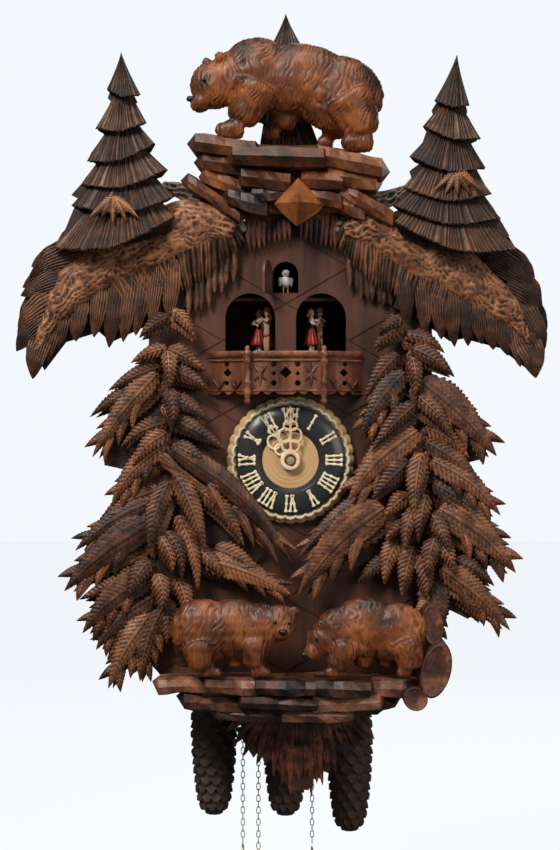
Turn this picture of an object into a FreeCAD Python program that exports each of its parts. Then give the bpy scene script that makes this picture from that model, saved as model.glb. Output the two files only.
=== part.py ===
import FreeCAD
import Part

import math
import os

# Carved musical cuckoo clock, in millimetres.
# X runs to the right seen from the front, Y runs back to the wall, Z runs up.
# The origin is the middle of the wall-hook hole, and the wall is the plane Y = 0.

V = FreeCAD.Vector

# ---- driving dimensions ----------------------------------------------------

case_half = 150.0        # half width of the case over its side boards
board = 10.0             # thickness of the case boards
panel_front = -170.0     # front face of the front panel
panel_back = panel_front + board
gable_top = 35.0         # peak of the gable, under the roof boards
roof_pitch = math.radians(30.0)
roof_half = 190.0        # half span of the roof boards
case_bottom = -430.0     # underside of the case floor
panel_bottom = -500.0    # the front panel runs down behind the rock ledge
skirt_top = -440.0       # where the front panel starts to narrow towards its foot

house_x = -5.0           # axis of the doorway, the windows and the balcony
doorway_half = 13.5
doorway_sill = -49.2
doorway_top = -16.0
window_sill = -111.0
window_top = -49.5
window_half = 26.5
window_pitch = 75.0      # left window axis to right window axis

dial_x = 0.0
dial_z = -226.0
dial_radius = 67.0
dial_board_thick = 8.0
ring_thick = 4.0
ring_outer = 61.0
ring_inner = 32.8

carving_thick = 35.0     # front trees
tree_layer = panel_front
ledge_top = -449.0
ledge_bottom = -500.0
ledge_front = -250.0

chain_y = -97.0          # plane of the three chains and weights
chain_radius = 2.4
chain_travel = 120.0     # how far each weight runs down
wheel_z = -262.0         # axis height of the three chain wheels
weight_x = {"left": -83.0, "middle": -5.0, "right": 65.0}
pull_x = {"left": -51.5, "middle": -34.6, "right": 24.0}
weight_bottom = {"left": -615.0, "middle": -616.0, "right": -633.0}
weight_length = 168.0
weight_radius = 25.2
pull_end = {"left": -648.0, "middle": -654.0, "right": -651.0}

plate_front = -128.0     # front face of the front movement plate
plate_back = -66.0       # back face of the back movement plate
plate_thick = 2.0
plate_left = -92.0
plate_right = 76.0
plate_top = -178.0
plate_foot = -305.0

arbor_radius = 2.0
running = 0.06           # radial clearance of every arbor in its hole
module_motion = 0.8      # gear module of the motion work
wheel_teeth = 80         # great wheel
pinion_teeth = 10        # centre pinion
cannon_teeth = 10
minute_teeth = 30
minute_pinion_teeth = 8
hour_teeth = 32

carousel_x = -1.0
carousel_y = -108.0
carousel_radius = 44.0
dancer_circle = 40.0
dancer_height = 50.0
stage_z = -113.0         # top of the carousel disc

pendulum_y = -30.0
pendulum_pivot_z = -200.0
bob_z = -545.0
bob_radius = 24.0

door_pivot_x = -136.0
door_pivot_y = -3.5
door_top = -108.0
door_foot = -402.0

lattice_slope = 0.586     # rise of the scored lines on the front panel
lattice_pitch = 78.0     # height from one scored line to the next
score_width = 1.8
score_depth = 1.3

hook_hole = 4.0
hanger_thick = 2.0

# ---- small helpers ---------------------------------------------------------


def block(x0, x1, y0, y1, z0, z1):
    """Box between two corners."""
    low = V(min(x0, x1), min(y0, y1), min(z0, z1))
    return Part.makeBox(abs(x1 - x0), abs(y1 - y0), abs(z1 - z0), low)


def slab(outline, y0, y1):
    """Outline of (x, z) points, carried from depth y0 to depth y1."""
    points = [V(x, y0, z) for x, z in outline]
    face = Part.Face(Part.makePolygon(points + points[:1]))
    return face.extrude(V(0, y1 - y0, 0))


def floor_plate(outline, z0, z1):
    """Outline of (x, y) points, carried from height z0 to height z1."""
    points = [V(x, y, z0) for x, y in outline]
    face = Part.Face(Part.makePolygon(points + points[:1]))
    return face.extrude(V(0, 0, z1 - z0))


def pin_y(x, z, radius, y0, y1):
    """Round bar along Y."""
    return Part.makeCylinder(radius, abs(y1 - y0), V(x, min(y0, y1), z), V(0, 1, 0))


def pin_z(x, y, radius, z0, z1):
    """Round bar along Z."""
    return Part.makeCylinder(radius, abs(z1 - z0), V(x, y, min(z0, z1)), V(0, 0, 1))


def tube_y(x, z, outer, inner, y0, y1):
    """Round tube along Y."""
    return pin_y(x, z, outer, y0, y1).cut(pin_y(x, z, inner, y0 - 1, y1 + 1))


def fuse(first, *others):
    """One solid from several that touch."""
    made = first
    for other in others:
        made = made.fuse(other)
    return made.removeSplitter()


def mirrored(shape):
    """The same shape on the other side of the plane X = 0."""
    return shape.mirror(V(0, 0, 0), V(1, 0, 0))


def arch(x, half, sill, top, y0, y1):
    """Opening with straight jambs and a half-elliptic head, drawn as a low arc."""
    rise = min(half, 0.45 * (top - sill))
    spring = top - rise
    corners = [V(x - half, y0, sill), V(x - half, y0, spring)]
    crown = V(x, y0, top)
    right = [V(x + half, y0, spring), V(x + half, y0, sill)]
    edges = [
        Part.makeLine(corners[0], corners[1]),
        Part.Arc(corners[1], crown, right[0]).toShape(),
        Part.makeLine(right[0], right[1]),
        Part.makeLine(right[1], corners[0]),
    ]
    return Part.Face(Part.Wire(edges)).extrude(V(0, y1 - y0, 0))


def gear(x, z, teeth, module, y0, y1, bore, turn=0.0):
    """Spur wheel on a Y axis; turn is the angle of its first tooth from +X, in degrees."""
    tip = module * (teeth / 2.0 + 0.75)
    root = module * (teeth / 2.0 - 1.1)
    pitch = 2.0 * math.pi / teeth
    half_root = 0.27 * pitch
    half_tip = 0.10 * pitch * (1.0 if teeth > 12 else 0.9)
    outline = []
    for tooth in range(teeth):
        middle = math.radians(turn) + tooth * pitch
        for radius, offset in ((root, -half_root), (tip, -half_tip), (tip, half_tip), (root, half_root)):
            angle = middle + offset
            outline.append((x + radius * math.cos(angle), z + radius * math.sin(angle)))
    made = slab(outline, y0, y1)
    if bore > 0:
        made = made.cut(pin_y(x, z, bore, min(y0, y1) - 1, max(y0, y1) + 1))
    return made


def line_angle(x0, z0, x1, z1):
    """Direction from one axis to another, in degrees from +X towards +Z."""
    return math.degrees(math.atan2(z1 - z0, x1 - x0))


# ---- case ------------------------------------------------------------------


def gable_z(x):
    """Height of the gable's edge at x."""
    return gable_top - abs(x) * math.tan(roof_pitch)


def scored_lines():
    """Bars that score the diamond lattice into the front panel's face."""
    bars = []
    through_z = -61.0
    rise = 0.5 * score_width * math.hypot(1.0, lattice_slope)
    for slope in (-lattice_slope, lattice_slope):
        for step in range(-7, 3):
            middle = through_z + step * lattice_pitch
            left = middle - slope * (case_half + house_x)
            right = middle + slope * (case_half - house_x)
            outline = [
                (-case_half - 1, left - rise), (case_half + 1, right - rise),
                (case_half + 1, right + rise), (-case_half - 1, left + rise)]
            bars.append(slab(outline, panel_front + score_depth, panel_front - 1))
    return bars


def case_front_panel():
    """Front board of the case, cut by the doorway, the windows, the hands' hole and the scored lines."""
    skirt = [
        (-case_half, skirt_top), (-136, -456), (-108, -482), (-62, panel_bottom + 4),
        (92, panel_bottom + 4), (110, -482), (131, -468), (case_half, skirt_top)]
    gable = [(case_half, gable_z(case_half)), (0, gable_top), (-case_half, gable_z(case_half))]
    made = slab(skirt + gable, panel_back, panel_front)
    past_back = panel_back + 1
    past_front = panel_front - 1
    made = made.cut(arch(house_x, doorway_half, doorway_sill, doorway_top, past_back, past_front))
    for side in (-1, 1):
        axis = house_x + side * window_pitch / 2
        made = made.cut(arch(axis, window_half, window_sill, window_top, past_back, past_front))
    made = made.cut(pin_y(dial_x, dial_z, 8, past_back, past_front))
    return made.cut(scored_lines())


def case_sides():
    """Both side boards of the case."""
    board_top = gable_z(case_half) - 0.2
    board_shape = block(-case_half, -case_half + board, 0, panel_back, case_bottom, board_top)
    return Part.makeCompound([board_shape, mirrored(board_shape)])


def chain_holes(z0, z1):
    """Square holes for the six chain runs."""
    half = 6.0
    holes = []
    for x in list(weight_x.values()) + list(pull_x.values()):
        holes.append(block(x - half, x + half, chain_y - half, chain_y + half, z0, z1))
    return holes


def case_floor():
    """Bottom board, cut through for the chains and the pendulum."""
    inner = case_half - board
    made = block(-inner, inner, -12.5, panel_back, case_bottom, case_bottom + board)
    for hole in chain_holes(case_bottom - 1, case_bottom + board + 1):
        made = made.cut(hole)
    swing_slot = block(-32, 32, pendulum_y - 8, pendulum_y + 8, case_bottom - 1, case_bottom + board + 1)
    return made.cut(swing_slot)


def case_shelves():
    """The movement's seat and the narrow shelf under the cuckoo."""
    inner = case_half - board
    seat = block(-inner, inner, -62, panel_back, plate_foot - 8, plate_foot)
    for hole in chain_holes(plate_foot - 9, plate_foot + 1):
        seat = seat.cut(hole)
    shelf = block(-inner, inner, -70, panel_back + board, doorway_sill - 7.5, doorway_sill - 4)
    return Part.makeCompound([seat, shelf])


def roof_boards():
    """The two sloping boards of the roof."""
    thick = board / math.cos(roof_pitch)
    left = slab(
        [(0, gable_top), (0, gable_top + thick),
         (-roof_half, gable_z(roof_half) + thick), (-roof_half, gable_z(roof_half))],
        0, panel_front)
    return Part.makeCompound([left, mirrored(left)])


def back_rails():
    """Gable board and foot rail at the back, holed for the rear door's pivots."""
    inner = case_half - board
    top = slab(
        [(-inner, door_top + 2), (inner, door_top + 2), (inner, gable_z(inner)),
         (0, gable_top), (-inner, gable_z(inner))],
        0, -12)
    top = top.cut(block(-15.2, 15.2, 1, -hanger_thick, -20.2, 20.2))
    top = top.cut(pin_y(0, 0, 7, 1, -13))
    foot = block(-inner, inner, 0, -12, case_bottom, door_foot - 2)
    pivot_hole = pin_z(door_pivot_x, door_pivot_y, 1.5 + running, door_foot - 10, door_top + 10)
    return Part.makeCompound([top.cut(pivot_hole), foot.cut(pivot_hole)])


def hanger_plate():
    """Plate the clock hangs by."""
    made = block(-15, 15, 0, -hanger_thick, -20, 20)
    return made.cut(pin_y(0, 0, hook_hole, 1, -3))


def back_door():
    """Rear door with its pivot pins and its knob."""
    leaf = block(door_pivot_x + 2.5, case_half - board - 2, -8, -2, door_foot, door_top)
    barrel = pin_z(door_pivot_x, door_pivot_y, 2.8, door_foot, door_top)
    barrel = barrel.fuse(block(door_pivot_x, door_pivot_x + 3, -6, -2.5, door_foot, door_top))
    pins = [
        pin_z(door_pivot_x, door_pivot_y, 1.5, door_top - 1, door_top + 8),
        pin_z(door_pivot_x, door_pivot_y, 1.5, door_foot - 8, door_foot + 1),
    ]
    knob = pin_y(case_half - board - 14, 0.5 * (door_top + door_foot), 7, -3, -1)
    return fuse(leaf, barrel, knob, *pins)


# ---- carvings --------------------------------------------------------------


def crest_tree():
    """Spruce behind the crest bear."""
    outline = [
        (-4.7, 255), (16, 217), (8, 212), (28, 180), (16, 176), (40, 140), (24, 136), (36, 104),
        (-37, 104), (-32, 136), (-48, 140), (-26, 176), (-37, 180), (-17, 212), (-24, 217)]
    return slab(outline, -122, -148)


def crest_bear():
    """Bear that stands on the crest rock."""
    outline = [
        (-107, 163), (-103, 150), (-90, 139), (-72, 148), (-70, 134), (-82, 124), (-82, 116.5),
        (-46, 116.5), (-42, 138), (-5, 142), (30, 136), (32, 112), (26, 104.5), (60, 104.5),
        (64, 124), (72, 104.5), (88, 104.5), (88, 130), (84, 160), (72, 186), (50, 205),
        (24, 217), (-10, 214), (-37, 222), (-56, 214), (-72, 203), (-84, 200), (-98, 180)]
    return slab(outline, -150, -205)


def crest_rock():
    """Rock over the gable."""
    shelf = [
        (-107.6, 97), (-96, 117.6), (-86, 116), (-44, 116), (-38, 104), (92, 104), (101, 89),
        (98, 68), (66, 52), (40, 47.6), (-40, 47.6), (-84, 62)]
    prow = [(-44, 47.6), (44, 47.6), (38, 26), (18, 10), (-2, 14), (-30, 30)]
    return fuse(slab(shelf, -120, -228), slab(prow, panel_front, -220))


def roof_tree_left():
    """Spruce on the left slope of the roof."""
    outline = [
        (-177, 201), (-156, 157), (-166, 154), (-154, 130), (-162, 128), (-140, 107), (-150, 102), (-128, 79),
        (-140, 72), (-119, 46), (-150, 3), (-182, 20), (-201, 3), (-249, -11), (-228, 40), (-236, 44),
        (-219, 63), (-204, 80), (-213, 87), (-196, 118), (-204, 123), (-188, 158), (-192, 162)]
    return slab(outline, -196, -222)


def roof_tree_right():
    """Spruce on the right slope of the roof."""
    outline = [
        (174, 198), (187, 145), (180, 142), (199, 111), (188, 106), (199, 74), (211, 52), (206, 46),
        (219, 28), (238, -5), (224, -15), (209, -15), (166, 15), (130, 10), (103, 42), (122, 58),
        (117, 74), (128, 82), (130, 101), (138, 124), (150, 130), (144, 148)]
    return slab(outline, -196, -222)


def roof_bough_left():
    """Bough along the left eave."""
    outline = [
        (-45, 12), (-117, 50), (-150, 58), (-205, 30), (-245, 0), (-274, -30), (-286, -57), (-292, -100),
        (-270, -141), (-245, -108), (-206, -96), (-192, -108), (-163, -95), (-120, -74), (-104, -66),
        (-74, -40), (-45, 2)]
    return slab(outline, panel_front, -195)


def roof_bough_right():
    """Bough along the right eave."""
    outline = [
        (45, 12), (102, 44), (140, 58), (200, 34), (236, 0), (259, -46), (268, -108), (260, -139),
        (229, -115), (186, -104), (170, -107), (140, -86), (102, -66), (74, -42), (45, 2)]
    return slab(outline, panel_front, -195)


def front_tree_left():
    """Fir down the left of the front."""
    outline = [
        (-126, -92), (-96, -122), (-92, -160), (-73, -205), (-84, -232), (-84, -262), (-60, -292),
        (-4, -330), (-24, -346), (-70, -352), (-112, -362), (-132, -400), (-144, -446), (-160, -470),
        (-191, -466), (-193, -435), (-218, -406), (-222, -372), (-236, -362), (-226, -322),
        (-202, -296), (-188, -274), (-166, -232), (-211, -222), (-211, -182), (-193, -154), (-168, -124)]
    return slab(outline, tree_layer, tree_layer - carving_thick)


def front_tree_right():
    """Fir down the right of the front."""
    outline = [
        (117, -92), (160, -114), (171, -138), (180, -164), (215, -220), (190, -226), (198, -249), (219, -282),
        (224, -319), (237, -345), (214, -362), (229, -404), (200, -420), (168, -404), (140, -400),
        (110, -362), (70, -352), (26, -364), (2, -334), (36, -300), (60, -269), (84, -244), (74, -204),
        (92, -164), (92, -118)]
    return slab(outline, tree_layer, tree_layer - carving_thick)


def ledge_rock():
    """Rock ledge at the foot of the case."""
    outline = [
        (-141, ledge_top), (136, ledge_top), (134, -470), (112, -486), (96, ledge_bottom),
        (-62, ledge_bottom), (-84, -491), (-114, -485), (-142, -464)]
    return slab(outline, panel_front, ledge_front)


def ledge_log():
    """Log beside the ledge."""
    outline = [(137, -418), (144, -411), (158, -411), (165, -418), (165, -461), (158, -469), (144, -469), (137, -461)]
    return slab(outline, panel_front, ledge_front + 2)


def base_tail():
    """Fan that hangs below the ledge."""
    outline = [
        (-76, ledge_bottom), (95, ledge_bottom), (89, -521), (70, -533), (56, -530), (48, -560), (40, -557),
        (33, -570), (27, -566), (22, -582), (-1, -582), (-29, -541), (-36, -548), (-43, -529), (-51, -540), (-68, -512)]
    return slab(outline, panel_front - 2, -202)


def bear_left():
    """Bear on the left of the ledge."""
    outline = [
        (-122, -410), (-112, -380), (-86, -366), (-50, -367), (-30, -376), (-22, -372), (-8, -377), (4, -376),
        (9, -390), (6, -408), (-12, -414), (-20, -428), (-14, -448.9), (-42, -448.9), (-48, -432), (-84, -432),
        (-90, -448.9), (-122, -448.9)]
    return slab(outline, -207, -247)


def bear_right():
    """Bear on the right of the ledge."""
    outline = [
        (14, -424), (30, -404), (36, -392), (56, -374), (86, -365), (114, -369), (130, -384), (136, -408),
        (136, -448.9), (106, -448.9), (102, -432), (72, -432), (66, -448.9), (42, -448.9), (42, -438), (22, -436)]
    return slab(outline, -207, -247)


# ---- balcony ---------------------------------------------------------------

rail_top = -112.0
rail_foot = -118.0
panels_foot = -157.0
balcony_half = 82.0
balcony_front_half = 40.0
balcony_out = -204.0


def balcony_plan(inset):
    """Half-octagon plan of the balcony, moved in by inset."""
    return [
        (house_x - balcony_half + 1.6 * inset, panel_front),
        (house_x - balcony_front_half + 0.4 * inset, balcony_out + inset),
        (house_x + balcony_front_half - 0.4 * inset, balcony_out + inset),
        (house_x + balcony_half - 1.6 * inset, panel_front),
    ]


def balcony_floor():
    """Floor of the balcony."""
    return floor_plate(balcony_plan(4), -126, -122)


def pierced(panels):
    """Round and diamond holes through the panels, and the notches between the plank ends."""
    past_panel = balcony_out - 4
    inside = balcony_out + 5
    cuts = []
    for side in (-1, 1):
        for z in (-125, -145):
            cuts.append(pin_y(house_x + side * 12.5, z, 3.0, past_panel, inside))
            cuts.append(pin_y(house_x + side * 62, z, 2.4, past_panel, panel_front - 1))
        small = diamond(house_x + side * 12.5, -135, 2.6, past_panel, inside)
        wide = diamond(house_x + side * 61, -134, 4.6, past_panel, panel_front - 1)
        cuts.extend([small, wide])
    cuts.append(diamond(house_x, -134, 6.2, past_panel, inside))
    for x in (-66, -54, -25, -12.5, 12.5, 25, 54, 66):
        notch = [
            (house_x + x - 6, panels_foot - 1), (house_x + x, panels_foot + 4),
            (house_x + x + 6, panels_foot - 1)]
        cuts.append(slab(notch, past_panel, panel_front - 1))
    return panels.cut(cuts)


def diamond(x, z, half, y0, y1):
    """Square bar along Y, standing on one edge."""
    return slab([(x - half, z), (x, z - half), (x + half, z), (x, z + half)], y0, y1)


def balcony_front():
    """Carved panels on three sides with the hand rail along their tops."""
    panels = floor_plate(balcony_plan(0), panels_foot, rail_foot)
    panels = pierced(panels.cut(floor_plate(balcony_plan(4), panels_foot - 1, rail_foot + 1)))
    rail = floor_plate(balcony_plan(-1.5), rail_foot, rail_top)
    rail = rail.cut(floor_plate(balcony_plan(5), rail_foot - 1, rail_top + 1))
    return fuse(panels, rail)


def balcony_posts():
    """Two posts of the balcony."""
    posts = []
    for side in (-1, 1):
        x = house_x + side * balcony_front_half
        posts.append(pin_z(x, balcony_out - 5.4, 3.6, -166, rail_top + 2))
    return Part.makeCompound(posts)


# ---- dial and hands --------------------------------------------------------

dial_face = panel_front - dial_board_thick
ring_face = dial_face - ring_thick


def dial_board():
    """Round board that carries the dial."""
    return tube_y(dial_x, dial_z, dial_radius, 6, dial_face, panel_front)


def dial_ring():
    """Ring of the dial that the numerals stand on."""
    return tube_y(dial_x, dial_z, ring_outer, ring_inner, ring_face, dial_face)


def hand(length, tail, width, hub, bore, y0, y1, clock_angle):
    """Pointed hand; clock_angle is clockwise from twelve, in degrees."""
    outline = [
        (dial_x - width, dial_z - tail), (dial_x + width, dial_z - tail),
        (dial_x + width, dial_z + 0.7 * length),
        (dial_x, dial_z + length), (dial_x - width, dial_z + 0.7 * length)]
    made = slab(outline, y0, y1).fuse(pin_y(dial_x, dial_z, hub, y0, y1))
    made = made.cut(pin_y(dial_x, dial_z, bore, min(y0, y1) - 1, max(y0, y1) + 1))
    made.rotate(V(dial_x, 0, dial_z), V(0, 1, 0), clock_angle)
    return made


pipe_outer = 3.6
pipe_inner = arbor_radius + running
hour_level = ring_face - 3.0
minute_level = hour_level - 3.5
hand_thick = 1.2


def hour_hand():
    """Hour hand on its pipe."""
    return hand(47, 8, 3.0, 7, pipe_outer, hour_level, hour_level - hand_thick, -30)


def minute_hand():
    """Minute hand on the centre arbor."""
    return hand(62, 9, 2.4, 6, arbor_radius, minute_level, minute_level - hand_thick, 0)


def hand_nut():
    """Nut that holds the minute hand."""
    made = pin_y(dial_x, dial_z, 4.0, minute_level - hand_thick, minute_level - hand_thick - 3)
    return made.cut(pin_y(dial_x, dial_z, arbor_radius, minute_level, minute_level - 6))


# ---- movement --------------------------------------------------------------

motion_distance = module_motion * (cannon_teeth + minute_teeth) / 2.0
minute_wheel_x = dial_x + motion_distance
middle_x = 0.5 * (weight_x["middle"] + pull_x["middle"])
wheel_to_centre = math.hypot(dial_x - middle_x, dial_z - wheel_z)
module_train = 2.0 * wheel_to_centre / (wheel_teeth + pinion_teeth)
hammer_x = -45.0
hammer_z = -285.0
seat_bridge_z = plate_top


def wheel_axes():
    """Axis of each chain wheel, half way between its two chain runs."""
    return {side: 0.5 * (weight_x[side] + pull_x[side]) for side in weight_x}


def movement_frame():
    """Two plates, four pillars, the carousel's bridge and the studs that small wheels turn on."""
    plates = [
        block(plate_left, plate_right, plate_front, plate_front + plate_thick, plate_foot, plate_top),
        block(plate_left, plate_right, plate_back - plate_thick, plate_back, plate_foot, plate_top)]
    pillars = []
    for x in (plate_left + 3.5, plate_right - 3.5):
        for z in (plate_foot + 8, plate_top - 8):
            pillars.append(pin_y(x, z, 3, plate_front, plate_back))
    bridge = block(-14, 16, plate_front, plate_back, seat_bridge_z, seat_bridge_z + 4)
    gap_x = weight_x["middle"]
    chain_gap = block(
        gap_x - 5, gap_x + 5, chain_y - 4, chain_y + 5, seat_bridge_z - 1, seat_bridge_z + 5)
    bridge = bridge.cut(chain_gap)
    stud = pin_y(minute_wheel_x, dial_z, 1.2, plate_front - 15, plate_front + 1)
    pendulum_stud = pin_y(0, pendulum_pivot_z, 2, plate_back - 1, pendulum_y + 8)
    hammer_stud = pin_y(hammer_x, hammer_z, 2, plate_back - 1, -36)
    made = fuse(plates[0], plates[1], *pillars, bridge, stud, pendulum_stud, hammer_stud)
    arbor_hole = pin_z(
        carousel_x, carousel_y, arbor_radius + running, seat_bridge_z - 1, seat_bridge_z + 5)
    made = made.cut(arbor_hole)
    hole = arbor_radius + running
    made = made.cut(pin_y(dial_x, dial_z, hole, plate_front - 1, plate_back + 1))
    for x in wheel_axes().values():
        made = made.cut(pin_y(x, wheel_z, hole, plate_front - 1, plate_back + 1))
    return made


def centre_arbor():
    """Arbor that carries the minute hand, with its centre pinion and the cannon pinion."""
    arbor = pin_y(dial_x, dial_z, arbor_radius, plate_back - plate_thick, minute_level - hand_thick - 4)
    centre_turn = line_angle(dial_x, dial_z, middle_x, wheel_z)
    centre_pinion = gear(dial_x, dial_z, pinion_teeth, module_train, -115, -110, 0, centre_turn)
    cannon = gear(dial_x, dial_z, cannon_teeth, module_motion, plate_front - 6.5, plate_front - 2, 0)
    return fuse(arbor, centre_pinion, cannon)


def great_wheel():
    """Great wheel of the going train on the arbor that the middle chain wheel turns on."""
    half_tooth = 180.0 / wheel_teeth
    turn = line_angle(middle_x, wheel_z, dial_x, dial_z) + half_tooth
    wheel = gear(middle_x, wheel_z, wheel_teeth, module_train, -114, -111, 0, turn)
    arbor = pin_y(middle_x, wheel_z, arbor_radius, plate_front, plate_back)
    collar = pin_y(middle_x, wheel_z, 5, -111, -105)
    return fuse(wheel, arbor, collar)


def minute_wheel():
    """Wheel and pinion of the motion work."""
    bore = 1.2 + running
    turn = 180.0 + 180.0 / minute_teeth
    wheel = gear(
        minute_wheel_x, dial_z, minute_teeth, module_motion, plate_front - 6, plate_front - 2.5, bore, turn)
    pinion = gear(
        minute_wheel_x, dial_z, minute_pinion_teeth, module_motion, plate_front - 12, plate_front - 6,
        bore, 180.0)
    return fuse(wheel, pinion)


def hour_wheel():
    """Hour wheel on the pipe that carries the hour hand."""
    turn = 180.0 / hour_teeth
    wheel = gear(
        dial_x, dial_z, hour_teeth, module_motion, plate_front - 11.5, plate_front - 8, pipe_inner, turn)
    pipe = tube_y(dial_x, dial_z, pipe_outer, pipe_inner, hour_level - hand_thick - 0.6, plate_front - 8)
    return fuse(wheel, pipe)


def chain_wheel(side):
    """Grooved wheel under one chain, with its two flanges."""
    x = wheel_axes()[side]
    pitch_radius = 0.5 * abs(weight_x[side] - pull_x[side])
    core = pitch_radius - chain_radius - 0.8
    flange = core + 1.6
    made = fuse(
        pin_y(x, wheel_z, core, chain_y - 6, chain_y + 6),
        pin_y(x, wheel_z, flange, chain_y - 6.5, chain_y - 4.2),
        pin_y(x, wheel_z, flange, chain_y + 4.2, chain_y + 6.5))
    if side == "middle":
        return made.cut(pin_y(x, wheel_z, arbor_radius + running, chain_y - 8, chain_y + 8))
    return fuse(made, pin_y(x, wheel_z, arbor_radius, plate_front, plate_back))


def pendulum():
    """Pendulum: rod and bob."""
    eye = tube_y(0, pendulum_pivot_z, 5, 2 + running, pendulum_y - 4, pendulum_y + 4)
    rod = pin_z(0, pendulum_y, 1.5, bob_z, pendulum_pivot_z - 3.5)
    bob = pin_y(0, bob_z, bob_radius, pendulum_y - 4, pendulum_y + 4)
    return fuse(eye, rod, bob)


def gong():
    """Ring gong on its post."""
    ring = Part.makeTorus(34, 2, V(-90, -30, -356), V(0, 1, 0))
    post = block(-95, -85, -36, -24, case_bottom + board, -389)
    return fuse(ring, post)


def gong_hammer():
    """Hammer that strikes the gong."""
    boss = tube_y(hammer_x, hammer_z, 5, 2 + running, -50, -40)
    arm = block(hammer_x - 46, hammer_x - 4, -47, -43, hammer_z - 1.5, hammer_z + 1.5)
    drop = block(hammer_x - 46, hammer_x - 43, -47, -28, hammer_z - 18, hammer_z + 1.5)
    head = pin_z(hammer_x - 44.5, pendulum_y, 5, hammer_z - 30, hammer_z - 12)
    return fuse(boss, arm, drop, head)


def music_bed():
    """Bed plate with the comb and the two bearings of the music cylinder."""
    bed = block(-44, 44, -56, -14, -172, -169)
    legs = [block(x, x + 6, -56, -50, plate_top, -172) for x in (-14, 8)]
    comb = block(-30, 30, -56, -43, -160, -158)
    comb_foot = block(-30, 30, -56, -52, -170, -158)
    bearings = []
    for x0 in (-38, 34):
        bearing = block(x0, x0 + 4, -36, -20, -170, -148)
        bearings.append(bearing)
    made = fuse(bed, *legs, comb, comb_foot, *bearings)
    bore = Part.makeCylinder(2 + running, 90, V(-45, -28, -158), V(1, 0, 0))
    return made.cut(bore)


def music_cylinder():
    """Pinned cylinder of the music work."""
    drum = Part.makeCylinder(9, 60, V(-30, -28, -158), V(1, 0, 0))
    arbor = Part.makeCylinder(2, 80, V(-40, -28, -158), V(1, 0, 0))
    return fuse(drum, arbor)


bellows_x0 = 104.0
bellows_x1 = 136.0
bellows_y0 = -60.0
bellows_y1 = -112.0
bellows_top_z = -118.0
lid_axis_y = -58.0
lid_axis_z = -115.0


def bellows_boxes():
    """The two tall whistle boxes, each with its windway cut near the foot."""
    box = block(bellows_x0, bellows_x1, bellows_y0, bellows_y1, plate_foot, bellows_top_z)
    mouth = block(bellows_x0 + 8, bellows_x1 - 8, bellows_y1 - 1, bellows_y1 + 8, -290, -282)
    right = box.cut(mouth)
    return Part.makeCompound([mirrored(right), right])


def bellows_lid(side):
    """Lid of one bellows, with its lead weight and the round bar that it hinges on."""
    lid = block(bellows_x0, bellows_x1, lid_axis_y - 1, bellows_y1, bellows_top_z + 0.5, bellows_top_z + 6)
    lead = pin_z(0.5 * (bellows_x0 + bellows_x1), bellows_y1 + 16, 8, bellows_top_z + 6, bellows_top_z + 12)
    bar = Part.makeCylinder(1.5, bellows_x1 - bellows_x0, V(bellows_x0, lid_axis_y, lid_axis_z), V(1, 0, 0))
    made = fuse(lid, lead, bar)
    return mirrored(made) if side == "left" else made


# ---- weights and chains ----------------------------------------------------


def weight(side):
    """Pine-cone weight with its hook."""
    x = weight_x[side]
    z = weight_bottom[side]
    outline = [
        (0, 0), (10, 3), (17.5, 15), (21.5, 40), (24, 68), (weight_radius, 96), (24.4, 122), (19, 146),
        (9, 162), (0, weight_length)]
    profile = [V(x + radius, chain_y, z + height) for radius, height in outline]
    curve = Part.BSplineCurve()
    curve.interpolate(profile[1:-1])
    edges = [Part.makeLine(profile[0], profile[1]), curve.toShape(), Part.makeLine(profile[-2], profile[-1])]
    edges.append(Part.makeLine(profile[-1], profile[0]))
    cone = Part.Face(Part.Wire(edges)).revolve(V(x, chain_y, 0), V(0, 0, 1), 360)
    hook = pin_z(x, chain_y, 1.6, z + weight_length - 8, z + weight_length + 12)
    return fuse(cone, hook)


def weight_chain(side):
    """Chain run from the weight's hook to its upper end above the chain wheel."""
    foot = weight_bottom[side] + weight_length + 12
    return pin_z(weight_x[side], chain_y, chain_radius, foot, wheel_z + chain_travel)


def pull_chain(side):
    """Free chain run with the pull ring on its end."""
    x = pull_x[side]
    z = pull_end[side]
    run = pin_z(x, chain_y, chain_radius, z, wheel_z)
    ring = Part.makeTorus(9.0, 1.4, V(x, chain_y, z - 8), V(1, 0, 0))
    return fuse(run, ring)


# ---- carousel and cuckoo ---------------------------------------------------


def carousel():
    """Disc that carries the dancers, on its arbor."""
    disc = pin_z(carousel_x, carousel_y, carousel_radius, stage_z - 4, stage_z)
    spindle = pin_z(carousel_x, carousel_y, arbor_radius, seat_bridge_z - 3, stage_z)
    pulley = pin_z(carousel_x, carousel_y, 5, seat_bridge_z + 6, seat_bridge_z + 14)
    return fuse(disc, spindle, pulley)


def on_carousel(shape):
    """One figure set at each quarter, turned to face along the circle."""
    made = []
    for quarter in range(4):
        copy = shape.copy()
        copy.rotate(V(carousel_x, carousel_y, 0), V(0, 0, 1), 45 + 90 * quarter)
        made.append(copy)
    return Part.makeCompound(made)


def dancer(along, hem, waist, waist_height):
    """Simple figure on the carousel, moved along the circle from the couple's middle."""
    x = carousel_x + along
    y = carousel_y - dancer_circle
    foot = V(x, y, stage_z)
    skirt = Part.makeCone(hem, waist, waist_height, foot, V(0, 0, 1))
    chest = pin_z(x, y, waist, stage_z + waist_height, stage_z + dancer_height - 9)
    head = Part.makeSphere(4.6, V(x, y, stage_z + dancer_height - 4.6))
    return fuse(skirt, chest, head)


def dancer_women():
    """The four women of the couples."""
    return on_carousel(dancer(-6.5, 7.5, 4.2, 28))


def dancer_men():
    """The four men of the couples."""
    return on_carousel(dancer(6.2, 4.6, 4.4, 24))


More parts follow.
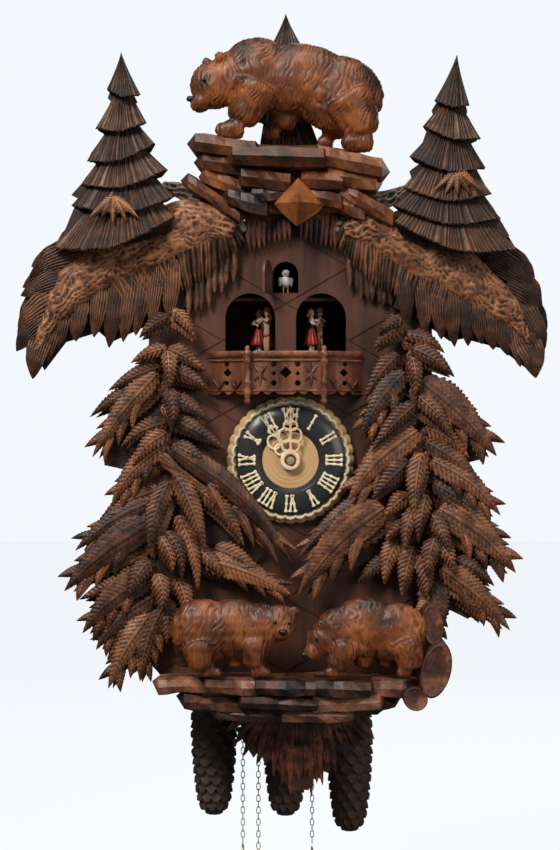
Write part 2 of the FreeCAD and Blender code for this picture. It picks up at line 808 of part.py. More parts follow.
def cuckoo_bird():
    """The cuckoo."""
    x = house_x
    y = -156.5
    body = Part.makeSphere(6.6, V(x, y, -34))
    head = Part.makeSphere(5.0, V(x, y, -25.6))
    legs = [pin_z(x + side * 2.4, y, 0.8, doorway_sill - 1, -36) for side in (-1, 1)]
    arm = block(x - 4, x + 4, y - 2, -82, doorway_sill - 3.7, doorway_sill - 0.8)
    return fuse(body, head, *legs, arm)


door_hinge_x = house_x - doorway_half - 2.0
door_hinge_y = panel_front - 2.0
door_open = 105.0


def cuckoo_door():
    """Little door over the doorway, standing open."""
    panel = arch(
        house_x, doorway_half + 1.2, doorway_sill - 1, doorway_top + 1.2, panel_front - 0.6, panel_front - 3.2)
    barrel = pin_z(door_hinge_x, door_hinge_y, 1.2, doorway_sill - 1, doorway_top - 14)
    made = fuse(panel, barrel)
    made.rotate(V(door_hinge_x, door_hinge_y, 0), V(0, 0, 1), -door_open)
    return made


# ---- write every piece -----------------------------------------------------


def pieces():
    """Name and shape of every separate piece."""
    simple = [
        case_front_panel, case_sides, case_floor, case_shelves, roof_boards, back_rails, hanger_plate,
        back_door, crest_tree, crest_bear, crest_rock, roof_tree_left, roof_tree_right,
        roof_bough_left, roof_bough_right, front_tree_left, front_tree_right, ledge_rock, ledge_log,
        base_tail, bear_left, bear_right, balcony_floor, balcony_front, balcony_posts, dial_board,
        dial_ring, hour_hand, minute_hand, hand_nut, movement_frame, centre_arbor, great_wheel,
        minute_wheel, hour_wheel, pendulum, gong, gong_hammer, music_bed, music_cylinder,
        bellows_boxes, carousel, dancer_women, dancer_men, cuckoo_bird, cuckoo_door]
    named = {make.__name__: make() for make in simple}
    for side in weight_x:
        named["chain_wheel_" + side] = chain_wheel(side)
        named["weight_" + side] = weight(side)
        named["weight_chain_" + side] = weight_chain(side)
        named["pull_chain_" + side] = pull_chain(side)
    for side in ("left", "right"):
        named["bellows_lid_" + side] = bellows_lid(side)
    return named


def write_all():
    """Writes one STEP file for each node."""
    os.makedirs("parts", exist_ok=True)
    for name, shape in pieces().items():
        if not shape.isValid():
            print("not valid:", name)
        shape.exportStep("parts/" + name + ".step")
        print(name, len(shape.Solids), round(shape.Volume))


write_all()
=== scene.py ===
"""Visual model of a carved chalet clock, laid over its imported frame.

Lengths are millimetres in the clock's own frame: X to the right, Y back to the wall, Z up. A piece is
turned into metres when its mesh is made. Every new piece is a set of closed shells: loops of points
between two poles, worked out as whole arrays.
"""

import logging
import math
from dataclasses import dataclass, field
from enum import Enum

import bpy
import numpy as np
from numpy.typing import NDArray
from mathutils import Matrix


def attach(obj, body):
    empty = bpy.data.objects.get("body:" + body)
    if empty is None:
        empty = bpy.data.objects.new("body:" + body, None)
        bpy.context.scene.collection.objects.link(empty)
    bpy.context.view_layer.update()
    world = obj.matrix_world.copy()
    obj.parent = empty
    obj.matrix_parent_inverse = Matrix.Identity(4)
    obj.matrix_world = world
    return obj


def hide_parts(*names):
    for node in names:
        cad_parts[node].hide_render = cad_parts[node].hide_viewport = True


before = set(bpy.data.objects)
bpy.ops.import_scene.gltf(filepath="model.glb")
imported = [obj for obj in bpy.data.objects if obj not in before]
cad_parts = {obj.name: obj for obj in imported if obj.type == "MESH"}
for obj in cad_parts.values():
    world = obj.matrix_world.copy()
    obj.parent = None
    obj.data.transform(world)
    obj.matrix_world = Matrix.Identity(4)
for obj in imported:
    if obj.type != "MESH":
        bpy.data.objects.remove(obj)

log = logging.getLogger("clock")
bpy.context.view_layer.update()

Array = NDArray[np.float64]
Node = bpy.types.Node
Socket = bpy.types.NodeSocket
Tree = bpy.types.NodeTree
Colour = tuple[int, int, int]
Place = tuple[float, float]
Point = tuple[float, float, float]

MM = 0.001
FRONT = np.array([0.0, -1.0, 0.0])
UP = np.array([0.0, 0.0, 1.0])


# ---- sums shared by the carvings ---------------------------------------------


def wave(phase: Array) -> Array:
    """Triangle wave of period 1: nought at whole numbers and one half way between."""
    return 1.0 - np.abs(2.0 * (phase - np.floor(phase)) - 1.0)


def ease(value: Array, low: float, high: float) -> Array:
    """Smooth step: nought below low, one above high, with flat ends."""
    part = np.clip((value - low) / (high - low), 0.0, 1.0)
    return part * part * (3.0 - 2.0 * part)


def unit(vectors: Array) -> Array:
    """The vectors divided by their lengths."""
    return vectors / np.maximum(np.linalg.norm(vectors, axis=-1, keepdims=True), 1e-9)


def ripple(points: Array, length: float, seed: int) -> Array:
    """Smooth uneven noise between -1 and 1.

    The mean of seven sine waves that run in seeded directions, their wavelengths spread about length.

    Args:
        points: Places in millimetres.
        length: Mean wavelength in millimetres.
        seed: Seed of the directions.

    Returns:
        One value for each place.
    """
    chance = np.random.default_rng(seed)
    total = np.zeros(points.shape[:-1])
    for _ in range(7):
        heading = unit(chance.normal(size=3)) * math.tau / (length * chance.uniform(0.7, 1.5))
        total += np.sin(points @ heading + chance.uniform(0.0, math.tau))
    return total / 3.5


def curve(knots: list[Place] | list[Point], count: int) -> Array:
    """Points spread evenly along a smooth line through given knots.

    Cubic Hermite pieces whose slopes are half the step between a knot's two neighbours.

    Args:
        knots: Places the line passes through.
        count: How many points to give back.

    Returns:
        The points, one row each.
    """
    knot = np.array(knots, dtype=float)
    slope = np.gradient(knot, axis=0)
    at = np.linspace(0.0, len(knot) - 1.0, count)
    piece = np.minimum(at.astype(int), len(knot) - 2)
    t = (at - piece)[:, None]
    start, end = knot[piece], knot[piece + 1]
    leave, meet = slope[piece], slope[piece + 1]
    rise = 3 * t**2 - 2 * t**3
    return start * (1 - rise) + end * rise + leave * (t - 2 * t**2 + t**3) + meet * (t**3 - t**2)


# ---- finishes ----------------------------------------------------------------


def linear(colour: Colour) -> tuple[float, float, float, float]:
    """A display colour as the linear light that shaders take."""
    part = [((c / 255 + 0.055) / 1.055) ** 2.4 if c > 10 else c / 3294 for c in colour]
    return (part[0], part[1], part[2], 1.0)


@dataclass(frozen=True)
class Finish:
    """A stain, paint or metal: colour with painted shade that darkens it in the cuts, with its grain and its
    gloss.
    """

    name: str
    shadow: Colour
    middle: Colour
    light: Colour
    roughness: float = 0.45
    metallic: float = 0.0
    grain: float = 90.0
    stretch: Point = (1.0, 1.0, 1.0)
    bump: float = 0.25
    coat: float = 0.0
    carved: bool = True

    def material(self) -> bpy.types.Material:
        """The finish as a node material, made once.

        Colour: a ramp from shadow through middle to light, read by stretched noise plus the piece's tone, then
        mixed to a darker shadow where the point attribute carve is deep, as painted shade in the cuts.
        Roughness rises in the cuts.

        Returns:
            The material.
        """
        found = bpy.data.materials.get(self.name)
        if found is not None:
            return found
        made = bpy.data.materials.new(self.name)
        made.use_nodes = True
        tree = made.node_tree
        shader = tree.nodes["Principled BSDF"]
        shader.inputs["Metallic"].default_value = self.metallic
        shader.inputs["Coat Weight"].default_value = self.coat
        shader.inputs["Coat Roughness"].default_value = 0.3
        place = tree.nodes.new("ShaderNodeTexCoord")
        turn = tree.nodes.new("ShaderNodeMapping")
        turn.inputs["Scale"].default_value = self.stretch
        tree.links.new(place.outputs["Object"], turn.inputs["Vector"])
        broad = self.noise(tree, turn, self.grain, 5.0)
        fine = self.noise(tree, turn, self.grain * 5.0, 3.0)
        level = self.sum(tree, broad, 0.75, fine, 0.25)
        ramp = tree.nodes.new("ShaderNodeValToRGB")
        ramp.color_ramp.elements[0].position = 0.3
        ramp.color_ramp.elements[1].position = 0.74
        ramp.color_ramp.elements[0].color = linear(self.shadow)
        ramp.color_ramp.elements[1].color = linear(self.light)
        ramp.color_ramp.elements.new(0.5).color = linear(self.middle)
        if self.carved:
            tone = self.attribute(tree, "tone")
            level = self.sum(tree, level, 1.0, self.sum(tree, tone, 0.42, None, -0.21), 1.0)
        tree.links.new(level, ramp.inputs["Fac"])
        colour = ramp.outputs["Color"]
        rough = self.sum(tree, fine, 0.2, None, self.roughness - 0.1)
        if self.carved:
            # painted shade: the colour is mixed towards half the shadow colour where the carve attribute is
            # deep
            depth = self.attribute(tree, "carve")
            shade = tree.nodes.new("ShaderNodeMix")
            shade.data_type = "RGBA"
            deep = tuple(int(c * 0.5) for c in self.shadow)
            tree.links.new(self.sum(tree, depth, 0.95, None, 0.0), shade.inputs["Factor"])
            tree.links.new(colour, shade.inputs["A"])
            shade.inputs["B"].default_value = linear(deep)
            colour = shade.outputs["Result"]
            rough = self.sum(tree, rough, 1.0, depth, 0.25)
        tree.links.new(colour, shader.inputs["Base Color"])
        tree.links.new(rough, shader.inputs["Roughness"])
        relief = tree.nodes.new("ShaderNodeBump")
        relief.inputs["Strength"].default_value = self.bump
        relief.inputs["Distance"].default_value = 0.0008
        tree.links.new(fine, relief.inputs["Height"])
        tree.links.new(relief.outputs["Normal"], shader.inputs["Normal"])
        return made

    @staticmethod
    def noise(tree: Tree, turn: Node, scale: float, detail: float) -> Socket:
        """Noise on the turned coordinates, as a value."""
        made = tree.nodes.new("ShaderNodeTexNoise")
        made.inputs["Scale"].default_value = scale
        made.inputs["Detail"].default_value = detail
        tree.links.new(turn.outputs["Vector"], made.inputs["Vector"])
        return made.outputs["Fac"]

    @staticmethod
    def attribute(tree: Tree, name: str) -> Socket:
        """A point attribute of the piece, as a value."""
        made = tree.nodes.new("ShaderNodeAttribute")
        made.attribute_name = name
        return made.outputs["Fac"]

    @staticmethod
    def sum(
        tree: Tree, one: Socket, share: float,
        other: Socket | None, weight: float,
    ) -> Socket:
        """one times share, plus other times weight, or plus weight where there is no other.

        Args:
            tree: The material's nodes.
            one: First number.
            share: What it is multiplied by.
            other: Second number, if there is one.
            weight: What that is multiplied by.

        Returns:
            The sum's socket.
        """
        made = tree.nodes.new("ShaderNodeMath")
        made.operation = "MULTIPLY_ADD"
        tree.links.new(one, made.inputs[0])
        made.inputs[1].default_value = share
        if other is None:
            made.inputs[2].default_value = weight
            return made.outputs[0]
        scaled = tree.nodes.new("ShaderNodeMath")
        scaled.operation = "MULTIPLY"
        tree.links.new(other, scaled.inputs[0])
        scaled.inputs[1].default_value = weight
        tree.links.new(scaled.outputs[0], made.inputs[2])
        return made.outputs[0]


FIR = Finish("fir_stain", (32, 15, 8), (108, 61, 35), (180, 116, 74), roughness=0.42, grain=70, bump=0.35)
EAVE = Finish("eave_stain", (26, 13, 7), (80, 45, 27), (142, 92, 60), roughness=0.5, grain=80, bump=0.4)
EAVE_BAND = Finish("eave_band_stain", (40, 20, 11), (128, 76, 45), (200, 138, 92), roughness=0.48, grain=80,
    bump=0.4)
# grey stain of the chipped strip along the eaves: a painted sheen
GREY_SHEEN = Finish("weathered_stain", (40, 32, 26), (104, 86, 72), (176, 158, 140), roughness=0.5, grain=80,
    bump=0.4)
SPRUCE = Finish("spruce_stain", (24, 13, 8), (78, 47, 30), (136, 92, 62), roughness=0.46, grain=80, bump=0.35)
TAIL = Finish("tail_stain", (26, 12, 7), (84, 42, 28), (146, 84, 58), roughness=0.45, grain=80, bump=0.3)
CREST_STONE = Finish("crest_stone_stain", (24, 11, 6), (94, 50, 25), (160, 94, 48), roughness=0.45, grain=45,
    bump=0.4)
LEDGE_STONE = Finish("ledge_stone_stain", (26, 13, 8), (88, 49, 34), (170, 118, 92), roughness=0.45,
    grain=45, bump=0.4)
FUR = Finish("bear_stain", (46, 21, 9), (124, 66, 30), (190, 112, 56), roughness=0.42, grain=30, bump=0.3)
BOARD = Finish("front_board_stain", (38, 20, 13), (80, 45, 31), (108, 63, 45), roughness=0.5, grain=30,
               stretch=(1.0, 1.0, 0.12), bump=0.3, carved=False)
PLANK = Finish("case_stain", (44, 26, 17), (76, 47, 32), (104, 68, 47), roughness=0.55, grain=30,
               stretch=(1.0, 0.12, 1.0), bump=0.3, carved=False)
INSIDE = Finish("inner_wood", (70, 46, 28), (120, 86, 56), (156, 120, 84), roughness=0.65, grain=30,
                stretch=(0.12, 1.0, 1.0), bump=0.3, carved=False)
BALCONY_BOARD = Finish("balcony_board_stain", (42, 21, 13), (108, 62, 42), (168, 110, 78), roughness=0.45,
    grain=45,
                       stretch=(1.0, 1.0, 0.15), bump=0.35, carved=False)
TURNED = Finish("balcony_stain", (38, 18, 11), (108, 62, 42), (172, 114, 82), roughness=0.42, grain=60,
    bump=0.3)
OAK = Finish("dial_oak", (80, 36, 9), (140, 74, 25), (170, 98, 40), roughness=0.42, grain=28,
             stretch=(0.15, 1.0, 1.0), bump=0.25)
SHARP_BLACK = Finish("dial_black", (12, 11, 11), (20, 18, 18), (34, 31, 30), roughness=0.3, grain=60,
    bump=0.08)
CREAM = Finish("cream_plastic", (196, 164, 112), (238, 222, 184), (252, 242, 214), roughness=0.34, grain=25,
    bump=0.05)
PINK_CREAM = Finish("hand_plastic", (186, 140, 104), (236, 208, 176), (252, 232, 206), roughness=0.34,
    grain=25, bump=0.05)
BRASS = Finish("clock_brass", (120, 82, 30), (186, 140, 66), (226, 190, 116), roughness=0.28, metallic=1.0,
               grain=120, bump=0.08, carved=False)
STEEL = Finish("clock_steel", (110, 110, 112), (150, 150, 152), (190, 190, 190), roughness=0.3, metallic=1.0,
               grain=120, bump=0.08, carved=False)
IRON = Finish("weight_iron", (24, 18, 16), (60, 49, 43), (122, 104, 92), roughness=0.36, metallic=0.25,
    grain=120, bump=0.25)
# near-black finish of the carousel: painted shade of the dark inside of the case
INSIDE_SHADE = Finish("inside_shade_black", (8, 6, 5), (16, 12, 10), (26, 20, 16), roughness=0.8, grain=60, bump=0.1,
    carved=False)
SKIN = Finish("doll_skin", (196, 132, 100), (232, 180, 148), (246, 204, 176), roughness=0.45, grain=200,
    bump=0.05)
RED = Finish("skirt_red", (120, 14, 12), (196, 30, 26), (226, 62, 50), roughness=0.4, grain=200, bump=0.1)
WHITE = Finish("blouse_white", (186, 180, 170), (234, 230, 222), (252, 250, 246), roughness=0.5, grain=200,
    bump=0.1)
JET = Finish("bodice_black", (14, 12, 12), (30, 26, 26), (52, 46, 44), roughness=0.4, grain=200, bump=0.1)
BROWN = Finish("suit_brown", (60, 34, 18), (112, 70, 42), (150, 102, 66), roughness=0.5, grain=200, bump=0.1)
STRAW = Finish("straw_hair", (150, 100, 40), (206, 158, 84), (232, 194, 124), roughness=0.5, grain=200,
    bump=0.2)
FEATHER = Finish("bird_grey", (120, 124, 130), (186, 190, 194), (226, 228, 230), roughness=0.5, grain=160,
    bump=0.2)
BEAK = Finish("beak_yellow", (170, 110, 30), (222, 168, 60), (240, 196, 100), roughness=0.4, grain=160,
    bump=0.05)


# ---- shells ------------------------------------------------------------------


@dataclass
class Carving:
    """Closed shells gathered for one piece, with the depth of cut, which darkens the colour as painted shade
    in the cuts and as the bark on the log, and the tone at each point.
    """

    name: str
    points: list[Array] = field(default_factory=list)
    quads: list[NDArray[np.int64]] = field(default_factory=list)
    tris: list[NDArray[np.int64]] = field(default_factory=list)
    carve: list[Array] = field(default_factory=list)
    tone: list[Array] = field(default_factory=list)
    count: int = 0

    def add(self, rings: Array, first: Array, last: Array, carve: Array | float = 0.0,
            tone: Array | float = 0.5) -> None:
        """Adds shells made of loops between a first and a last pole.

        Loops are joined by quads and each pole by a fan. A shell whose volume comes out negative about its
        own middle is turned round, so that faces point outwards.

        Args:
            rings: Points by shell, loop and place round the loop.
            first: First pole of each shell.
            last: Last pole of each shell.
            carve: Depth of cut by shell, loop and place, or one value.
            tone: Lightness of each shell.
        """
        shells, loops, around, _ = rings.shape
        size = loops * around + 2
        points = np.concatenate([first[:, None], rings.reshape(shells, -1, 3), last[:, None]], axis=1)
        here = 1 + np.arange(loops)[:, None] * around + np.arange(around)
        beside = np.roll(here, -1, axis=1)
        quads = np.stack([here[:-1], beside[:-1], beside[1:], here[1:]], axis=-1).reshape(-1, 4)
        start = np.stack([np.zeros(around, int), beside[0], here[0]], axis=-1)
        end = np.stack([np.full(around, size - 1), here[-1], beside[-1]], axis=-1)
        tris = np.concatenate([start, end])
        about = points - points.mean(axis=1, keepdims=True)
        split = np.concatenate([quads[:, :3], quads[:, [0, 2, 3]], tris])
        corner = about[:, split]
        volume = np.einsum("sfi,sfi->s", corner[:, :, 0], np.cross(corner[:, :, 1], corner[:, :, 2]))
        self.keep(points, quads, tris, volume < 0)
        cut = np.broadcast_to(np.asarray(carve, float), (shells, loops, around)).reshape(shells, -1)
        cut = np.concatenate([cut[:, :1], cut, cut[:, -1:]], axis=1)
        self.carve.append(cut.ravel())
        self.tone.append(np.repeat(np.broadcast_to(np.asarray(tone, float), (shells,)), size))

    def keep(self, points: Array, quads: Array, tris: Array, turned: Array) -> None:
        """Stores shells of one layout, reversing the faces of those that are turned inside out.

        Args:
            points: Points by shell and place in it.
            quads: Four-sided faces of one shell.
            tris: Three-sided faces of one shell.
            turned: Whether each shell is inside out.
        """
        shells, size, _ = points.shape
        offset = self.count + np.arange(shells)[:, None, None] * size
        every_quad = np.where(turned[:, None, None], quads[None, :, ::-1], quads[None]) + offset
        every_tri = np.where(turned[:, None, None], tris[None, :, ::-1], tris[None]) + offset
        self.points.append(points.reshape(-1, 3))
        self.quads.append(every_quad.reshape(-1, 4))
        self.tris.append(every_tri.reshape(-1, 3))
        self.count += shells * size

    def add_hoops(self, rings: Array, tone: float = 0.5) -> None:
        """Adds rings bent back on themselves.

        Args:
            rings: Points by hoop, place along it and place round its section.
            tone: Shade of the stain, from 0 to 1.
        """
        hoops, along, around, _ = rings.shape
        here = np.arange(along)[:, None] * around + np.arange(around)
        beside = np.roll(here, -1, axis=1)
        ahead = np.roll(here, -1, axis=0)
        across = np.roll(beside, -1, axis=0)
        quads = np.stack([here, beside, across, ahead], axis=-1).reshape(-1, 4)
        points = rings.reshape(hoops, -1, 3)
        middle = rings.mean(axis=2, keepdims=True)
        outward = (rings - middle).reshape(hoops, -1, 3)[:, quads[:, 0]]
        side = np.cross(points[:, quads[:, 1]] - points[:, quads[:, 0]], points[:, quads[:, 3]]
            - points[:, quads[:, 0]])
        facing = np.einsum("hfi,hfi->h", side, outward)
        self.keep(points, quads, np.zeros((0, 3), int), facing < 0)
        self.carve.append(np.zeros(hoops * along * around))
        self.tone.append(np.full(hoops * along * around, tone))

    def mesh(self, smooth: bool = True) -> bpy.types.Mesh:
        """Joins the gathered shells.

        Args:
            smooth: Whether the faces are shaded smooth.

        Returns:
            The mesh, in metres.
        """
        made = bpy.data.meshes.new(self.name)
        points = np.concatenate(self.points) * MM
        quads, tris = np.concatenate(self.quads), np.concatenate(self.tris)
        made.vertices.add(len(points))
        made.vertices.foreach_set("co", points.ravel())
        made.loops.add(quads.size + tris.size)
        made.loops.foreach_set("vertex_index", np.concatenate([quads.ravel(), tris.ravel()]).astype(np.int32))
        made.polygons.add(len(quads) + len(tris))
        starts = np.concatenate([np.arange(len(quads)) * 4, quads.size + np.arange(len(tris)) * 3])
        made.polygons.foreach_set("loop_start", starts.astype(np.int32))
        made.polygons.foreach_set("use_smooth", np.full(len(starts), smooth))
        made.update(calc_edges=True)
        # the carve attribute darkens the colour in the material: painted shade in the cuts, bark on the log
        for label, values in (("carve", self.carve), ("tone", self.tone)):
            layer = made.attributes.new(label, "FLOAT", "POINT")
            layer.data.foreach_set("value", np.concatenate(values).astype(np.float32))
        return made

    def build(
        self, body: str, finish: Finish, slot: str, replaces: tuple[str, ...] = (), smooth: bool = True,
        mesh: bpy.types.Mesh | None = None,
    ) -> bpy.types.Object:
        """Makes the piece, sets it on its body and reports it.

        Args:
            body: Body that the piece rides on.
            finish: Its finish.
            slot: The record's slot for it; not used.
            replaces: CAD nodes that it stands for.
            smooth: Whether its faces are shaded smooth.
            mesh: A mesh worked further, in place of the plain shells.

        Returns:
            The piece.
        """
        data = mesh or self.mesh(smooth)
        data.materials.append(finish.material())
        piece = bpy.data.objects.new(self.name, data)
        bpy.context.scene.collection.objects.link(piece)
        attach(piece, body)
        if replaces:
            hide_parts(*replaces)
        log.info("%s: %d faces on %s", self.name, len(data.polygons), body)
        return piece

    def loft(
        self, centre: Array, side: Array, rise: Array, around: int = 16, power: float = 1.0,
        carve: Array | float = 0.0, tone: float = 0.5,
    ) -> None:
        """Adds one shell whose sections are ovals: centre + side cos(a)^power + rise sin(a)^power.

        Args:
            centre: Middles of the sections, the first and the last being the poles.
            side: Half width of each section as a vector.
            rise: Half height of each section as a vector.
            around: Points round each section.
            power: Below one for squarer sections, one for ovals.
            carve: Depth of cut by section and place.
            tone: Lightness of the shell.
        """
        angle = np.arange(around) * math.tau / around
        cos = np.sign(np.cos(angle)) * np.abs(np.cos(angle)) ** power
        sin = np.sign(np.sin(angle)) * np.abs(np.sin(angle)) ** power
        rings = centre[1:-1, None] + side[1:-1, None] * cos[:, None] + rise[1:-1, None] * sin[:, None]
        self.add(rings[None], centre[None, 0], centre[None, -1], carve, tone)

    def ball(self, centre: Point, radii: Point, tilt: float = 0.0, tone: float = 0.5,
            around: int = 16) -> None:
        """Adds an ellipsoid.

        Args:
            centre: Its middle.
            radii: Half sizes along its own X, Y and Z.
            tilt: Degrees it is turned by about Y.
            tone: Shade of the stain, from 0 to 1.
            around: Points round it.
        """
        angle = np.linspace(0.0, math.pi, around // 2 + 2)
        turn = math.radians(tilt)
        along = np.array([math.cos(turn), 0.0, math.sin(turn)])
        upward = np.array([-math.sin(turn), 0.0, math.cos(turn)])
        middle = np.array(centre) - np.cos(angle)[:, None] * radii[0] * along
        swell = np.sin(angle)[:, None]
        self.loft(middle, swell * radii[1] * FRONT, swell * radii[2] * upward, around, tone=tone)

    def limb(self, knots: list[Point], radii: list[float], around: int = 12, tone: float = 0.5,
            flat: float = 1.0) -> None:
        """Adds a round limb.

        Args:
            knots: Points its middle line runs through.
            radii: Radius at each knot.
            around: Points round it.
            tone: Shade of the stain, from 0 to 1.
            flat: Its depth along Y as a share of its width.
        """
        middle = curve(knots, 6 * len(knots))
        size = curve([(r, 0.0) for r in radii], len(middle))[:, :1]
        dome = np.sqrt(np.clip(1.0 - np.linspace(-1.0, 1.0, len(middle)) ** 8, 0.0, 1.0))[:, None]
        heading = unit(np.gradient(middle, axis=0))
        across = unit(np.cross(heading, FRONT))
        self.loft(middle, across * size * dome, unit(np.cross(across, heading)) * size * dome * flat, around,
            tone=tone)

    def turned(self, outline: list[Place], centre: Point, axis: Array = UP, around: int = 24,
            tone: float = 0.5,
               flutes: int = 0, flute: float = 0.0) -> None:
        """Adds a turned shape: radius and height pairs spun about an axis, with flutes cut round it if asked.

        The radius is cut by flute times the square of the sine of flutes times the angle, and the flutes are
        darkened by their depth as painted shade.

        Args:
            outline: Radius and height pairs, from pole to pole.
            centre: Where height 0 lies.
            axis: Way the heights run.
            around: Points round it.
            tone: Shade of the stain, from 0 to 1.
            flutes: How the angle is multiplied.
            flute: How deep the flutes are.
        """
        pairs = np.array(outline, dtype=float)
        one = unit(np.cross(axis, FRONT if abs(axis[1]) < 0.5 else UP))
        two = np.cross(axis, one)
        angle = np.arange(around) * math.tau / around
        cut = np.sin(angle * flutes / 2.0) ** 2
        radius = pairs[1:-1, :1] - flute * cut * (pairs[1:-1, :1] > 2 * flute)
        spoke = np.cos(angle)[:, None] * one + np.sin(angle)[:, None] * two
        rings = np.array(centre) + pairs[1:-1, 1, None, None] * axis + radius[:, :, None] * spoke
        poles = np.array(centre) + pairs[[0, -1], 1, None] * axis
        # painted shade: the flutes are darkened by their depth through the carve attribute
        self.add(rings[None], poles[:1], poles[1:], (cut * np.ones_like(radius))[None] if flute else 0.0,
            tone)


class Cut(Enum):
    """How the front of a bough is cut."""

    HERRINGBONE = 1
    LENGTHWISE = 2
    CHIPS = 3


@dataclass(frozen=True)
class Gouge:
    """The tool work on one kind of bough."""

    cut: Cut
    pitch: float
    depth: float
    loops: int = 56
    across: int = 15
    lines: int = 7
    serration: float = 0.14
    blunt: float = 1.6
    root: float = 0.45


@dataclass
class Blades:
    """Many boughs of one kind: where each starts and ends, and its size."""

    gouge: Gouge
    seed: int
    bases: list[Point] = field(default_factory=list)
    tips: list[Point] = field(default_factory=list)
    widths: list[float] = field(default_factory=list)
    thicks: list[float] = field(default_factory=list)
    lifts: list[float] = field(default_factory=list)
    bends: list[float] = field(default_factory=list)

    def place(
        self, base: Point, tip: Point, width: float, thick: float = 5.0, lift: float = 3.0, bend: float = 0.0,
    ) -> None:
        """Notes one bough.

        Args:
            base: Where it grows from.
            tip: Where it ends.
            width: Its full width.
            thick: Height of its crown.
            lift: How far its middle stands off the straight line.
            bend: How far its middle swings upwards, as a share of its length.
        """
        self.bends.append(bend if tip[0] < base[0] else -bend)
        self.bases.append(base)
        self.tips.append(tip)
        self.widths.append(width)
        self.thicks.append(thick)
        self.lifts.append(lift)

    def carve_into(self, carving: Carving, normal: Array = FRONT) -> None:
        """Cuts every bough as a shell of the carving.

        Along a bough the half width is full at three tenths of its length and falls as one less the length to
        a power. Across it the front is crowned, thick times one less the half width to the power 1.7, and the
        back is flat. The grooves lower the crown, and swell and pinch its edge. The grooves are darkened by
        their depth, and the back by a half, as painted shade.

        Args:
            carving: Where the shells go.
            normal: Way the boughs face.
        """
        chance = np.random.default_rng(self.seed)
        base, tip = np.array(self.bases, float), np.array(self.tips, float)
        many = len(base)
        length = np.linalg.norm(tip - base, axis=1)[:, None, None]
        along = unit(tip - base)[:, None, None]
        side = unit(np.cross(along, normal))
        facing = np.cross(side, along)
        roll = chance.uniform(-0.22, 0.22, many)[:, None, None, None]
        side, facing = side * np.cos(roll) + facing * np.sin(roll), facing * np.cos(roll) - side * np.sin(roll)
        loops = self.gouge.loops
        s = ((np.arange(loops) + 0.5) / loops)[None, :, None]
        t = np.linspace(-1.0, 1.0, self.gouge.across)[None, None, :]
        size = np.array(self.widths)[:, None, None] * chance.uniform(0.88, 1.12, many)[:, None, None]
        root = self.gouge.root
        swell = root + (1.0 - root) * np.sin(np.clip(s / 0.3, 0, 1) * math.pi / 2)
        half = 0.5 * size * swell * (1 - s**self.gouge.blunt) ** 0.9
        groove, edge = self.grooves(s, t, half, length, chance.uniform(0, 1, many)[:, None, None])
        half = half * (1.0 + self.gouge.serration * (0.5 - edge))
        slim = (1.0 - s**4) ** 0.7
        thick = np.array(self.thicks)[:, None, None]
        crown = thick * (1.0 - 0.85 * np.abs(t) ** 1.7) * slim
        rim = 0.16 * thick * np.exp(-(((np.abs(t) - 0.86) / 0.09) ** 2)) * slim
        height = crown + rim - self.gouge.depth * groove * slim
        back = np.array([0.6, 0.0, -0.6])[None, None, :]
        offset = np.concatenate([t * half, back * half], axis=2)
        level = np.concatenate([height, np.broadcast_to(-0.35 * thick * slim, (many, loops, 3))], axis=2)
        share = np.array(self.bends)[:, None, None] + chance.uniform(-0.03, 0.03, many)[:, None, None]
        bend = share * length * np.sin(math.pi * s)
        bow = np.array(self.lifts)[:, None, None] * np.sin(math.pi * np.clip(s * 0.9, 0, 1))
        centre = base[:, None, None] + along * (s * length)[..., None]
        rings = centre + side * (offset + bend)[..., None] + facing * (level + bow)[..., None]
        # painted shade: the grooves darken by their depth and the backs of the boughs by a half
        cut = np.concatenate([groove, np.full((many, loops, 3), 0.5)], axis=2)
        carving.add(rings, base, tip + facing[:, 0, 0] * np.array(self.lifts)[:, None] * 0.3, cut,
            chance.uniform(0.25, 0.9, many))

    def grooves(self, s: Array, t: Array, half: Array, length: Array, shift: Array) -> tuple[Array, Array]:
        """Depth of the grooves from nought to one, over the front and along the edge.

        Herringbone grooves are lines of s length - 0.9 |x| = constant on each side of a double spine.
        Lengthwise grooves are lines of constant t. Chips are rows of pits, every other row shifted.

        Args:
            s: Share of the length.
            t: Share of the half width.
            half: Half width.
            length: Length of each bough.
            shift: Start of the pattern on each bough.

        Returns:
            The depth over the front, and along the edge.
        """
        pitch = self.gouge.pitch
        if self.gouge.cut is Cut.LENGTHWISE:
            lines = wave(t * self.gouge.lines / 2 + 0.12 * np.sin(s * 9 + shift * 6))
            edge = wave(s * length / (pitch * 2.2) + shift)
            return lines**1.4 * (1 - 0.6 * s**6) * np.ones_like(half), edge
        if self.gouge.cut is Cut.CHIPS:
            row = s * length / pitch + shift
            column = t * half / (pitch * 0.8) + 0.5 * np.floor(row)
            pits = (row - np.floor(row)) * wave(column)
            return np.clip(1.5 * pits, 0, 1), wave(row)
        phase = (s * length - 0.9 * np.abs(t) * half) / pitch + shift
        open_field = ease(np.abs(t), 0.12, 0.24)
        spine = np.exp(-(((np.abs(t) - 0.13) / 0.05) ** 2))
        return np.clip(wave(phase) ** 1.3 * open_field + 0.8 * spine, 0, 1), wave(phase[:, :, -1:])


